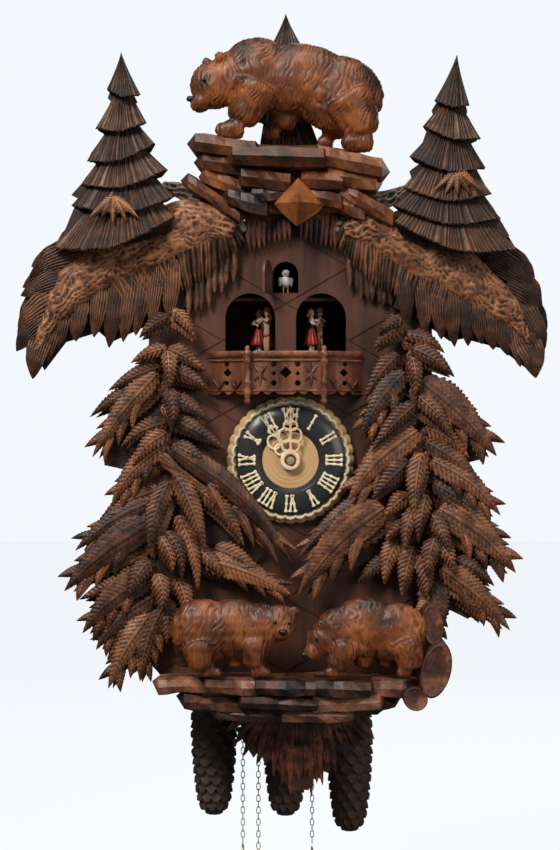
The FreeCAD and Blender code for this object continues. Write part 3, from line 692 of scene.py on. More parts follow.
def backing(node: str, name: str, finish: Finish, slot: str, keep: float = 0.3, shrink: float = 0.95) -> None:
    """A thin board behind a carving, in the outline of the CAD node that the carving stands for, darkened all
    over as painted shade behind the carving.

    Points are drawn in towards the board's middle by shrink, and its thickness from the back is kept by keep.

    Args:
        node: The CAD node whose outline it takes.
        name: Name of the board.
        finish: Its finish.
        slot: The record's slot for it.
        keep: Share of the thickness kept.
        shrink: Share of the outline's size kept.
    """
    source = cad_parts[node].data
    points = np.empty(len(source.vertices) * 3)
    source.vertices.foreach_get("co", points)
    points = points.reshape(-1, 3) / MM
    faces = np.empty(len(source.polygons) * 3, dtype=np.int32)
    source.polygons.foreach_get("vertices", faces)
    rounded, back = np.unique(np.round(points, 3), axis=0, return_inverse=True)
    middle = 0.5 * (rounded.min(axis=0) + rounded.max(axis=0))
    deepest = rounded[:, 1].max()
    rounded[:, [0, 2]] = middle[[0, 2]] + shrink * (rounded[:, [0, 2]] - middle[[0, 2]])
    rounded[:, 1] = deepest + keep * (rounded[:, 1] - deepest)
    board = Carving(name)
    joined = back.ravel()[faces].reshape(-1, 3)
    board.points.append(rounded)
    board.tris.append(joined)
    board.quads.append(np.zeros((0, 4), int))
    # painted shade: the whole board is darkened by a carve of 0.6, as the shade between the boughs
    board.carve.append(np.full(len(rounded), 0.6))
    board.tone.append(np.full(len(rounded), 0.3))
    board.build("clock_case", finish, slot, smooth=False)


# ---- firs beside the dial ------------------------------------------------------


Frond = tuple[float, float, float, float, float, int]


@dataclass
class Fir:
    """One broad fir carved on the front: fronds that hang out to both sides of a trunk."""

    name: str
    node: str
    fronds: list[Frond]
    seed: int
    gouge: Gouge = Gouge(Cut.HERRINGBONE, 5.4, 2.4, loops=60, serration=0.2)

    def build(self) -> None:
        """Lays every frond at its level, with a darker one under it and lobes along the wide ones.

        A frond gives the X and Z of its foot and of its tip, its width and its level, 0 lying deepest.
        """
        boughs = Blades(self.gouge, self.seed)
        under = Blades(Gouge(Cut.HERRINGBONE, 5.0, 2.0, loops=40, serration=0.25), self.seed + 1)
        lobes = Blades(Gouge(Cut.HERRINGBONE, 4.2, 1.4, loops=26, across=11), self.seed + 2)
        chance = np.random.default_rng(self.seed)
        for x0, z0, x1, z1, width, level in self.fronds:
            foot_y, tip_y = -181.0 - 4.2 * level, -188.0 - 4.2 * level
            boughs.place((x0, foot_y, z0), (x1, tip_y, z1), width, 5.5, 4.0, 0.07)
            slip = chance.uniform(4, 9)
            sideways = 0.12 * (x1 - x0)
            under.place((x0 - sideways, foot_y + 6, z0 - slip),
                (x1 - 0.8 * sideways, tip_y + 7, z1 - slip * 0.6 + 3), 0.9 * width, 4.0, 2.0, 0.05)
            if width < 30:
                continue
            reach = np.array([x1 - x0, z1 - z0])
            out = np.array([-reach[1], reach[0]]) / np.hypot(*reach)
            for share in (0.3, 0.5, 0.7):
                for side in (-1.0, 1.0):
                    foot = np.array([x0, z0]) + share * reach
                    tip = foot + 0.27 * reach + side * out * width * 0.52 * (1.1 - 0.5 * share)
                    lobes.place((foot[0], tip_y + 3, foot[1]), (tip[0], tip_y + 1.5, tip[1]), 0.42 * width,
                        3.6, 2.0, 0.05)
        for label, group in (("", boughs), ("_under", under), ("_lobes", lobes)):
            carving = Carving(self.name + label)
            group.carve_into(carving)
            carving.build("clock_case", FIR, "carved_wood", (self.node,) if not label else ())
        backing(self.node, self.name + "_back", FIR, "carved_wood", 0.2, 0.84)


# ---- boughs along the eaves ----------------------------------------------------


Feather = tuple[float, float, float, float, float]


def ribbon(
    carving: Carving, knots: list[Point], y: float, thick: float, pitch: float, depth: float, seed: int,
    loops: int = 150,
) -> None:
    """Adds a chipped band along a curve: knots give X, Z and the half width.

    A point is the curve plus t half widths across it. Chips are wedges that deepen along the band, in rows
    whose starts are shifted by half, all bent by slow noise.

    Args:
        carving: Where it goes.
        knots: X, Z and half width along the middle.
        y: Depth of the band's edges.
        thick: How far its middle stands forward.
        pitch: Length of a chip.
        depth: Depth of a chip.
        seed: Seed of the noise.
        loops: Sections along it.
    """
    line = curve(knots, loops + 2)
    middle, half = line[:, :2], line[:, 2:3]
    heading = unit(np.gradient(middle, axis=0))
    across = np.stack([-heading[:, 1], heading[:, 0]], axis=1)
    t = np.linspace(-1.0, 1.0, 33)[None]
    flat = middle[1:-1, None] + across[1:-1, None] * (t * half[1:-1])[..., None]
    place = np.stack([flat[..., 0], np.zeros(flat.shape[:2]), flat[..., 1]], axis=-1)
    stray = ripple(place, 20.0, seed) * 0.8
    run = np.concatenate([[0.0], np.cumsum(np.linalg.norm(np.diff(middle, axis=0), axis=1))])[1:-1, None]
    row = t * half[1:-1] / (pitch * 0.75) + stray
    column = run / pitch + 0.5 * np.floor(row) + 0.7 * ripple(place, 14.0, seed + 1) + 0.35 * np.abs(row)
    chip = np.clip(1.6 * (column - np.floor(column)) * wave(row), 0, 1)
    edge = 1.0 - np.abs(t) ** 3
    level = y - thick * edge + depth * chip * edge
    back_t = np.array([[0.7, 0.0, -0.7]])
    back = middle[1:-1, None] + across[1:-1, None] * (back_t * half[1:-1])[..., None]
    rings = np.concatenate([
        np.stack([flat[..., 0], level, flat[..., 1]], axis=-1),
        np.stack([back[..., 0], np.full(back.shape[:2], y + 4.0), back[..., 1]], axis=-1)], axis=1)
    poles = np.stack([line[[0, -1], 0], np.full(2, y), line[[0, -1], 1]], axis=1)
    # painted shade: the chips darken by their depth, and the back of the band by a half
    cut = np.concatenate([chip, np.full((loops, 3), 0.5)], axis=1)
    carving.add(rings[None], poles[:1], poles[1:], cut[None], 0.62)


@dataclass
class Eave:
    """The great bough that hangs along one slope of the roof."""

    name: str
    node: str
    band: list[Point]
    feathers: list[Feather]
    fringe: list[Feather]
    needle_feet: list[Place]
    needle_tips: list[Place]
    plank_tips: list[Place]
    sheen_strip: list[Point]
    seed: int

    def build(self) -> None:
        """Lays the chipped band, the feathers out from it, the fringe and needles below, and the planks."""
        band = Carving(self.name + "_band")
        ribbon(band, self.band, -190.0, 7.0, 8.0, 2.6, self.seed)
        band.build("clock_case", EAVE_BAND, "carved_wood")
        # the strip's grey finish is painted sheen
        strip = Carving(self.name + "_weathered")
        ribbon(strip, self.sheen_strip, -182.0, 5.0, 7.0, 3.0, self.seed + 9, 70)
        strip.build("clock_case", GREY_SHEEN, "rock_wood")
        feathers = Blades(Gouge(Cut.LENGTHWISE, 7.0, 2.6, lines=9, across=37, blunt=3.2, serration=0.05,
            root=0.8), self.seed)
        for number, (x0, z0, x1, z1, width) in enumerate(self.feathers):
            feathers.place((x0, -184, z0), (x1, -183 - 1.5 * number, z1), width, 6.0, 5.0, 0.06)
            feathers.place((x0 + 0.3 * (x1 - x0), -180, z0 + 6), (x1 + 0.02 * (x0 - x1), -178, z1 + 9), 0.8
                * width, 4.0, 3.0, 0.06)
        fringe = Blades(Gouge(Cut.LENGTHWISE, 6.0, 2.2, lines=7, across=29, blunt=3.4, serration=0.05,
            root=0.75), self.seed + 1)
        for number, (x0, z0, x1, z1, width) in enumerate(self.fringe):
            fringe.place((x0, -186, z0), (x1, -181 - 2 * (number % 2), z1), width, 5.0, 4.0)
            fringe.place((x0 + 5, -181, z0 - 3), (x1 + 7, -176, z1 + 12), 0.8 * width, 4.0, 3.0)
        needles = Blades(Gouge(Cut.LENGTHWISE, 6.0, 0.8, loops=26, across=9, lines=1, blunt=5.0,
            serration=0.0, root=0.8), self.seed + 3)
        chance = np.random.default_rng(self.seed)
        feet, tips = curve(self.needle_feet, 34), curve(self.needle_tips, 34)
        for foot, tip in zip(feet.tolist(), tips.tolist()):
            needles.place((foot[0], -189, foot[1]), (tip[0], -185 + chance.uniform(-1, 1), tip[1]
                + chance.uniform(-2, 2)), 5.6, 3.2, 1.5)
        for x, z in self.plank_tips:
            for twin in (-4.0, 4.0):
                needles.place((x + twin, -178, z + 44), (x + twin, -179, z + chance.uniform(-2, 3)), 9.0,
                    3.4, 0.3)
        for label, group in (("feathers", feathers), ("fringe", fringe), ("needles", needles)):
            carving = Carving(f"{self.name}_{label}")
            group.carve_into(carving)
            carving.build("clock_case", EAVE, "carved_wood", (self.node,) if group is feathers else ())
        backing(self.node, self.name + "_back", EAVE, "carved_wood", 0.3, 0.9)


# ---- standing spruces ------------------------------------------------------------


@dataclass
class StandingSpruce:
    """A spruce of overlapping skirts, each fanned with grooves to two pointed ends."""

    name: str
    node: str
    apex: Place
    tiers: list[tuple[Place, Place]]
    y_back: float
    y_front: float
    seed: int

    def build(self) -> None:
        """Hangs the skirts, lowest first, and five sprays down the front."""
        carving = Carving(self.name)
        top = self.apex
        for number, (left, right) in enumerate(self.tiers):
            wide = right[0] - left[0]
            self.skirt(carving, top, left, right, 0.11 * wide + 3.0, number)
            middle = 0.5 * (left[0] + right[0])
            top = (0.7 * middle + 0.3 * top[0], 0.5 * (left[1] + right[1]) + 0.42 * wide + 4)
        carving.build("clock_case", SPRUCE, "carved_wood", (self.node,))
        sprays = Blades(Gouge(Cut.HERRINGBONE, 3.6, 1.2, loops=30, across=11), self.seed)
        left, right = self.tiers[-1]
        middle = 0.5 * (left[0] + right[0])
        for lean in (-26.0, -13.0, 0.0, 14.0, 27.0):
            foot = (middle, self.y_front + 4, left[1] + 52)
            sprays.place(foot, (middle + lean, self.y_front - 0.5, left[1] + 22 + 0.25 * abs(lean)), 11, 3.4,
                1.5)
        front = Carving(self.name + "_sprays")
        sprays.carve_into(front)
        front.build("clock_case", EAVE_BAND, "carved_wood")
        backing(self.node, self.name + "_back", SPRUCE, "carved_wood", 0.3, 0.86)

    def skirt(self, carving: Carving, top: Place, left: Place, right: Place, drop: float,
            number: int) -> None:
        """Adds one skirt.

        With s down it and t across it from -1 to 1, X runs from the top to its ends as s to the power 1.3
        times the reach of t, and Z falls to a hem that sags by drop between the ends. Grooves are lines
        of constant t, and they notch the hem.

        Args:
            carving: Where it goes.
            top: Where the skirt starts.
            left: Its left end.
            right: Its right end.
            drop: How far the hem sags.
            number: Place in the tree, counted from the top.
        """
        loops, across = 46, 8 * max(8, int((right[0] - left[0]) / 4.6)) + 1
        s = np.linspace(0.0, 1.0, loops + 1)[1:, None]
        t = np.linspace(-1.0, 1.0, across)[None]
        sway = 0.08 * ripple(np.stack([t[0] * 40 + 9 * number, t[0] * 0, t[0] * 7], axis=-1), 12.0, self.seed)
        lines = wave((t + sway) * (across - 1) / 16.0)
        end_x = 0.5 * (left[0] + right[0]) + 0.5 * (right[0] - left[0]) * t
        end_z = 0.5 * (left[1] + right[1]) + 0.5 * (right[1] - left[1]) * t - drop * (1
            - np.abs(t) ** 1.6) - 2.0 * lines
        x = top[0] + (end_x - top[0]) * (0.12 * s**0.5 + 0.88 * s**1.3)
        z = top[1] + (end_z - top[1]) * s
        proud = (1 - t**2) ** 0.7 * (self.y_back - self.y_front) * (0.35 + 0.65 * s) * 0.9
        level = self.y_back - 2.0 - proud - 3.0 * s**2 + 1.9 * lines * ease(s, 0.02, 0.25)
        back_t = np.linspace(0.9, -0.9, 9)[None]
        back_x = top[0] + (0.5 * (left[0] + right[0]) + 0.5 * (right[0] - left[0]) * back_t
            - top[0]) * s**1.3 * 0.96
        back_z = top[1] + (0.5 * (left[1] + right[1]) - drop * (1 - np.abs(back_t) ** 1.6)
            - top[1]) * s * 0.98
        back_y = self.y_back - 1.0 - 0.45 * (1 - back_t**2) * (self.y_back - self.y_front) * s
        rings = np.concatenate([np.stack([x, level, z], axis=-1),
            np.stack([back_x, back_y, back_z], axis=-1)], axis=1)
        first = np.array([[top[0], self.y_back - 2.0, top[1]]])
        last = rings[-1].mean(axis=0)[None]
        # painted shade: the grooves darken by their depth, and the back of the skirt by nine tenths
        depth = np.concatenate([lines * ease(s, 0.02, 0.2), np.full((loops, 9), 0.9)], axis=1)
        carving.add(rings[None], first, last, depth[None], 0.35 + 0.3 * (number % 2))


# ---- rocks -----------------------------------------------------------------------


@dataclass
class Rock:
    """A chiselled rock: top, foot, front and back lines along X, with facets struck into it."""

    name: str
    stations: list[tuple[float, float, float, float, float]]
    seed: int
    facet: float = 2.4
    loops: int = 14
    around: int = 11
    tone: float = 0.5

    def shells(self, carving: Carving) -> None:
        """Adds the rock: squarish sections between the lines, each point moved by seeded noise.

        Stations give x, the top, the foot, the front and the back.

        Args:
            carving: Where the rock goes.
        """
        table = np.array(self.stations, dtype=float)
        x = np.linspace(table[0, 0], table[-1, 0], self.loops + 2)
        top, foot, front, back = (np.interp(x, table[:, 0], table[:, k]) for k in range(1, 5))
        centre = np.stack([x, 0.5 * (front + back), 0.5 * (top + foot)], axis=1)
        angle = np.arange(self.around) * math.tau / self.around
        cos = np.sign(np.cos(angle)) * np.abs(np.cos(angle)) ** 0.5
        sin = np.sign(np.sin(angle)) * np.abs(np.sin(angle)) ** 0.5
        deep, high = 0.5 * (front - back), 0.5 * (top - foot)
        rings = np.stack([
            np.broadcast_to(x[1:-1, None], (self.loops, self.around)),
            centre[1:-1, 1:2] + deep[1:-1, None] * cos,
            centre[1:-1, 2:3] + high[1:-1, None] * sin], axis=-1)
        chance = np.random.default_rng(self.seed)
        strike = ripple(rings, 30.0, self.seed) * self.facet + chance.uniform(-1, 1,
            rings.shape[:2]) * self.facet * 0.6
        away = unit(rings - centre[1:-1, None])
        cut = np.clip(0.2 - 0.4 * strike / self.facet, 0, 1) * 0.6
        carving.add((rings - away * (self.facet + strike)[..., None])[None], centre[:1], centre[-1:],
            cut[None], self.tone)


# ---- bears -----------------------------------------------------------------------


@dataclass
class Bear:
    """A carved bear: balls and limbs melted together, then combed with a gouge."""

    name: str
    node: str
    balls: list[tuple[Point, Point, float]]
    limbs: list[tuple[list[Point], list[float]]]
    eyes: list[Point]
    nose: Point
    seed: int
    lean: Point = (0.5, 0.0, 1.0)
    voxel: float = 1.5

    def build(self) -> None:
        """Melts the body, combs its fur, and adds the eyes and nose."""
        rough = Carving(self.name + "_rough")
        for centre, radii, tilt in self.balls:
            rough.ball(centre, radii, tilt)
        for knots, radii in self.limbs:
            rough.limb(knots, radii)
        carver = bpy.data.objects.new(rough.name, rough.mesh())
        bpy.context.scene.collection.objects.link(carver)
        melt = carver.modifiers.new("melt", "REMESH")
        melt.mode = "VOXEL"
        melt.voxel_size = self.voxel * MM
        soften = carver.modifiers.new("soften", "SMOOTH")
        soften.factor = 0.5
        soften.iterations = 10
        graph = bpy.context.evaluated_depsgraph_get()
        body = bpy.data.meshes.new_from_object(carver.evaluated_get(graph))
        bpy.data.objects.remove(carver)
        body.name = self.name
        self.comb(body)
        Carving(self.name).build("clock_case", FUR, "bear_wood", (self.node,), mesh=body)
        dots = Carving(self.name + "_eyes")
        for place in self.eyes:
            dots.ball(place, (2.0, 2.0, 2.0), around=12)
        dots.ball(self.nose, (4.6, 4.0, 3.4), around=14)
        dots.build("clock_case", JET, "bear_wood")

    def comb(self, body: bpy.types.Mesh) -> None:
        """Combs strokes into the coat.

        A stroke's phase is the distance across the lean, bent by slow noise, over a pitch of 4.2 mm; a second
        noise breaks the strokes into tufts. Points sink along their normals by the depth. As painted shade,
        the strokes are darkened by their depth and faces turned upwards through the tone.

        Args:
            body: The bear's mesh, which is changed.
        """
        count = len(body.vertices)
        flat = np.empty(count * 3)
        body.vertices.foreach_get("co", flat)
        points = flat.reshape(-1, 3) / MM
        normal = np.empty(count * 3, dtype=np.float32)
        body.vertex_normals.foreach_get("vector", normal)
        normal = normal.reshape(-1, 3).astype(float)
        across = unit(np.cross(np.array(self.lean), FRONT))
        phase = (points @ across + 7.0 * ripple(points, 60.0, self.seed) + 2.6 * ripple(points, 15.0,
            self.seed + 1)) / 4.2
        tuft = 0.55 + 0.45 * ripple(points, 11.0, self.seed + 2)
        depth = wave(phase) ** 1.3 * np.clip(tuft, 0.1, 1.0)
        body.vertices.foreach_set("co", ((points - normal * depth[:, None] * 2.0) * MM).ravel())
        body.polygons.foreach_set("use_smooth", np.full(len(body.polygons), True))
        # tone: random patches from the ripple, plus painted shade that darkens faces turned upwards; carve:
        # painted shade in the strokes
        shade = 0.45 + 0.22 * ripple(points, 45.0, self.seed + 3) - 0.3 * normal[:, 2]
        for label, values in (("carve", depth * 0.85), ("tone", np.clip(shade, 0.2, 0.9))):
            layer = body.attributes.new(label, "FLOAT", "POINT")
            layer.data.foreach_set("value", values.astype(np.float32))
        body.update()


# ---- dial and hands ----------------------------------------------------------------


@dataclass
class Dial:
    """The dial: scalloped board, cream rim, black chapter ring, numerals and turned oak middle."""

    x: float = 0.0
    z: float = -226.0
    board: float = 67.0
    rim: float = 61.5
    middle: float = 32.8
    y_back: float = -170.0
    scallops: int = 36

    def disc(self, carving: Carving, outline: list[Place], scallop: float = 0.0, around: int = 288) -> None:
        """Adds a disc about the dial's axis.

        Args:
            carving: Where the disc goes.
            outline: Radius and depth pairs.
            scallop: How far the outer radii are waved.
            around: Points round it.
        """
        pairs = np.array(outline, dtype=float)
        angle = np.arange(around) * math.tau / around
        lobe = np.abs(np.cos(angle * self.scallops / 2)) ** 0.6 - 0.5
        weight = ease(pairs[1:-1, :1], self.rim - 8, self.rim)
        radius = pairs[1:-1, :1] + scallop * lobe * weight
        rings = np.stack([
            self.x + radius * np.sin(angle), np.broadcast_to(pairs[1:-1, 1:], radius.shape),
            self.z + radius * np.cos(angle)], axis=-1)
        poles = np.array([[self.x, pairs[0, 1], self.z], [self.x, pairs[-1, 1], self.z]])
        # painted shade: the colour darkens where the outline steps in depth, on the side walls of the rims
        depth = np.clip(np.abs(np.gradient(pairs[1:-1, 1]))[:, None] * 0.5, 0, 1) * np.ones_like(radius)
        carving.add(rings[None], poles[:1], poles[1:], depth[None])

    def build(self) -> None:
        """Builds the five layers of the dial."""
        board = Carving("dial_board_edge")
        b = self.board
        self.disc(board, [(0, self.y_back), (b - 6, self.y_back), (b - 2, -172), (b - 0.3, -174.5),
            (b - 1, -176.6),
                          (b - 4, -178.4), (b - 6, -178.9), (20, -178.9), (0, -178.9)], 2.0)
        board.build("clock_case", OAK, "dial_oak", ("dial_board",))
        rim = Carving("dial_rim")
        r = self.rim
        self.disc(rim, [(0, -178.6), (r, -178.6), (r + 1.2, -179.6), (r + 1.0, -181.2), (r - 0.4, -182.0),
                        (r - 1.8, -182.2), (r - 2.6, -181.7), (r - 3.4, -179.4), (10, -179.4), (0, -179.4)],
                        2.6)
        rim.build("clock_case", CREAM, "ivory_plastic", ("dial_ring",))
        chapter = Carving("dial_chapter_ring")
        self.disc(chapter, [(0, -180.0), (57.4, -180.0), (57.8, -181.6), (57.2, -182.6), (34.4, -182.9),
            (33.8, -182.6),
                            (33.6, -181.4), (0, -181.4)])
        chapter.build("clock_case", SHARP_BLACK, "dial_black")
        self.oak()
        self.numerals()

    def oak(self) -> None:
        """The turned middle: a shallow dish with rings cut as waves of its radius."""
        radius = np.linspace(33.4, 0.0, 60)
        level = -182.0 + 1.2 * (radius / 33.4) ** 4 - 0.28 * wave(radius / 4.4) + 0.5 * (radius < 9)
        outline = [(0.0, -180.5), (33.4, -180.5)] + list(zip(radius.tolist(), level.tolist()))
        dish = Carving("dial_middle")
        self.disc(dish, outline, around=96)
        # the painted shade on the dish's turned rings is kept faint
        dish.carve[-1] = dish.carve[-1] * 0.2
        dish.build("clock_case", OAK, "dial_oak")

    def numerals(self) -> None:
        """Twelve numerals, each a row of strokes that swell at both ends and at a bead half way."""
        figures = ("XII", "I", "II", "III", "IIII", "V", "VI", "VII", "VIII", "IX", "X", "XI")
        advance = {"I": 4.4, "V": 8.6, "X": 8.8}
        starts: list[Place] = []
        ends: list[Place] = []
        inner, outer = 36.4, 55.4
        for hour, figure in enumerate(figures):
            turn = math.radians(30 * hour)
            wide = sum(advance[letter] for letter in figure)
            at = -wide / 2
            for letter in figure:
                half = advance[letter] / 2
                mid = at + half
                at += advance[letter]
                pairs = {"I": ((0.0, 0.0),), "V": ((0.0, -half + 1.7), (0.0, half - 1.7)),
                         "X": ((half - 1.7, -half + 1.7), (-half + 1.7, half - 1.7))}[letter]
                for low, high in pairs:
                    for ends_list, radius, sideways in ((starts, inner, low), (ends, outer, high)):
                        fan = (mid + sideways) * (0.85 + 0.3 * (radius - inner) / (outer - inner))
                        ends_list.append((self.x + radius * math.sin(turn) + fan * math.cos(turn),
                                          self.z + radius * math.cos(turn) - fan * math.sin(turn)))
        marks = Carving("dial_numerals")
        strokes(marks, starts, ends, -182.6, 1.75, 1.7)
        marks.build("clock_case", CREAM, "ivory_plastic")


def strokes(carving: Carving, starts: list[Place], ends: list[Place], y: float, width: float,
        thick: float) -> None:
    """Adds flat strokes in the dial's plane.

    Half width along a stroke: width times 0.62, plus swells of a half at both ends and a bead at the middle.

    Args:
        carving: Where they go.
        starts: Inner ends as X and Z.
        ends: Outer ends.
        y: Depth of their backs.
        width: Half width at the ends.
        thick: How far they stand forward.
    """
    start, end = np.array(starts, float), np.array(ends, float)
    many = len(start)
    s = np.linspace(0.0, 1.0, 27)[None, 1:-1, None]
    angle = (np.arange(10) * math.tau / 10)[None, None]
    swell = 0.6 + 0.75 * np.exp(-(((s - 0.07) / 0.07) ** 2)) + 0.75 * np.exp(-(((s - 0.93) / 0.07) ** 2))
    swell += 0.45 * np.exp(-(((s - 0.5) / 0.06) ** 2))
    swell *= np.clip(np.minimum(s, 1 - s) / 0.05, 0.35, 1.0) ** 0.5
    heading = (end - start)[:, None, None]
    along = unit(heading)
    sideways = width * swell * np.sign(np.cos(angle)) * np.abs(np.cos(angle)) ** 0.7
    plane = start[:, None, None] + heading * s[..., None] + np.stack([-along[..., 1], along[..., 0]],
        -1) * sideways[..., None]
    level = y - thick * (0.5 + 0.5 * np.sin(angle)) * np.ones_like(sideways)
    level = np.broadcast_to(level, (many,) + level.shape[1:])
    rings = np.stack([plane[..., 0], level, plane[..., 1]], axis=-1)
    first = np.stack([start[:, 0], np.full(many, y - thick / 2), start[:, 1]], axis=1)
    last = np.stack([end[:, 0], np.full(many, y - thick / 2), end[:, 1]], axis=1)
    carving.add(rings, first, last, 0.0, 0.6)


def hoop(carving: Carving, centre: Place, y: float, half: Place, wire: Place, turn: float = 0.0,
        around: int = 8) -> None:
    """Adds a flat oval hoop in the dial's plane.

    Its middle line is centre + (a cos u, b sin u), turned, and its section is an oval.

    Args:
        carving: Where the hoop goes.
        centre: Middle of the hoop, as X and Z.
        y: Depth of its middle line.
        half: Its half width a and half height b.
        wire: Half sizes of its section.
        turn: Degrees it is turned by.
        around: Points round its section.
    """
    u = np.arange(40) * math.tau / 40
    v = np.arange(around) * math.tau / around
    bend = math.radians(turn)
    grow = wire[0] * np.cos(v)
    flat_x = (half[0] + grow) * np.cos(u)[:, None]
    flat_z = (half[1] + grow) * np.sin(u)[:, None]
    x = centre[0] + flat_x * math.cos(bend) + flat_z * math.sin(bend)
    z = centre[1] - flat_x * math.sin(bend) + flat_z * math.cos(bend)
    level = np.broadcast_to(y + wire[1] * np.sin(v), x.shape)
    carving.add_hoops(np.stack([x, level, z], axis=-1)[None], 0.6)


@dataclass
class Hand:
    """One pierced hand: hub ring, scrolls, lozenge and point along its length."""

    name: str
    node: str
    body: str
    length: float
    angle: float
    y: float
    finish: Finish
    scrolls: tuple[float, ...]
    centre: Place = (0.0, -226.0)

    def at(self, out: float, sideways: float = 0.0) -> Place:
        """A place on the hand, out from the centre and across it."""
        turn = math.radians(self.angle)
        return (self.centre[0] + out * math.sin(turn) + sideways * math.cos(turn),
                self.centre[1] + out * math.cos(turn) - sideways * math.sin(turn))

    def build(self) -> None:
        """Builds the hub, pairs of scrolls, a lozenge and the point."""
        made = Carving(self.name)
        wire = (1.15, 0.75)
        hoop(made, self.centre, self.y, (8.4, 8.4), (2.3, 0.8))
        for number, out in enumerate(self.scrolls):
            for side in (-1, 1):
                size = (4.6, 6.0, 3.6)[number]
                hoop(made, self.at(out, side * size * 0.95), self.y, (size, size * 1.25), wire, self.angle)
        starts, ends = [], []
        last = self.scrolls[-1] + 5.5
        for side in (-1, 1):
            starts += [self.at(last, 0.4 * side), self.at(last + 5.5, 4.2 * side),
                self.at(last + 2.0, 1.6 * side)]
            ends += [self.at(last + 5.5, 4.2 * side), self.at(last + 12.0, 0.4 * side),
                self.at(last + 7.0, 6.2 * side)]
        starts.append(self.at(8.0))
        ends.append(self.at(self.length))
        strokes(made, starts, ends, self.y + 0.7, 0.95, 1.4)
        made.build(self.body, self.finish, "ivory_plastic", (self.node,))


# ---- balcony -----------------------------------------------------------------------


@dataclass
class Balcony:
    """The balcony before the windows: rail, carved panels and turned posts."""

    x: float = -5.0
    front_half: float = 40.0
    half: float = 82.0
    y_front: float = -204.0
    y_wall: float = -170.0
    rail_z: float = -115.0

    def build(self) -> None:
        """Builds the rail, posts, mouldings and leaf carvings; the pierced panels are the frame's own."""
        rail = Carving("balcony_rail")
        corners = [(self.x - self.half, self.y_wall), (self.x - self.front_half, self.y_front),
                   (self.x + self.front_half, self.y_front), (self.x + self.half, self.y_wall)]
        for (x0, y0), (x1, y1) in zip(corners, corners[1:]):
            for z, deep, high in ((self.rail_z + 0.5, 3.6, 3.2), (-121.5, 2.6, 1.0), (-153.0, 1.6, 1.0)):
                path = np.linspace((x0, y0 + 1.0, z), (x1, y1 + 1.0, z), 12)
                heading = unit(path[-1] - path[0])
                across = np.cross(heading, UP)
                rail.loft(path, np.tile(across * deep, (12, 1)), np.tile(UP * high, (12, 1)), 16, 0.5)
        rail.build("clock_case", TURNED, "carved_wood")
        posts = Carving("balcony_turned_posts")
        outline = [(0, -168), (2.2, -167.5), (3.8, -164), (2.4, -161), (3.4, -158.5), (3.6, -152),
            (2.2, -149), (3.9, -146),
                   (3.9, -144), (2.4, -141), (3.2, -134), (2.3, -127), (4.0, -124), (4.0, -121),
                   (2.8, -118.5), (4.4, -116),
                   (4.4, -112.5), (2.0, -110.5), (3.0, -108.6), (1.6, -106.4), (0, -106)]
        for x in (self.x - self.front_half, self.x + self.front_half):
            posts.turned(outline, (x, -209.4, 0), around=20)
        posts.build("clock_case", TURNED, "carved_wood", ("balcony_posts",))
        leaves = Blades(Gouge(Cut.HERRINGBONE, 2.2, 0.5, loops=20, across=9), 5)
        for side in (-1, 1):
            for tip_x, tip_z in ((33.0, -127.0), (20.0, -127.0), (33.0, -143.0), (20.0, -143.0),
                    (26.5, -122.5), (26.5, -149.0)):
                leaves.place((self.x + side * 26.5, self.y_front - 0.2, -135.0),
                    (self.x + side * tip_x, self.y_front - 0.6, tip_z), 4.6, 1.3, 0.3)
            for share in (0.3, 0.72):
                x = self.x + side * (self.front_half + share * (self.half - self.front_half))
                y = self.y_front + share * (self.y_wall - self.y_front)
                for lean in (-7.0, 0.0, 7.0):
                    leaves.place((x, y - 1.4, -151.0), (x + lean, y - 2.4 + 0.8 * lean * side, -140.0), 4.2,
                        1.3, 0.3)
        trim = Carving("balcony_leaves")
        leaves.carve_into(trim)
        trim.build("clock_case", TURNED, "carved_wood")


# ---- dancers and cuckoo --------------------------------------------------------------


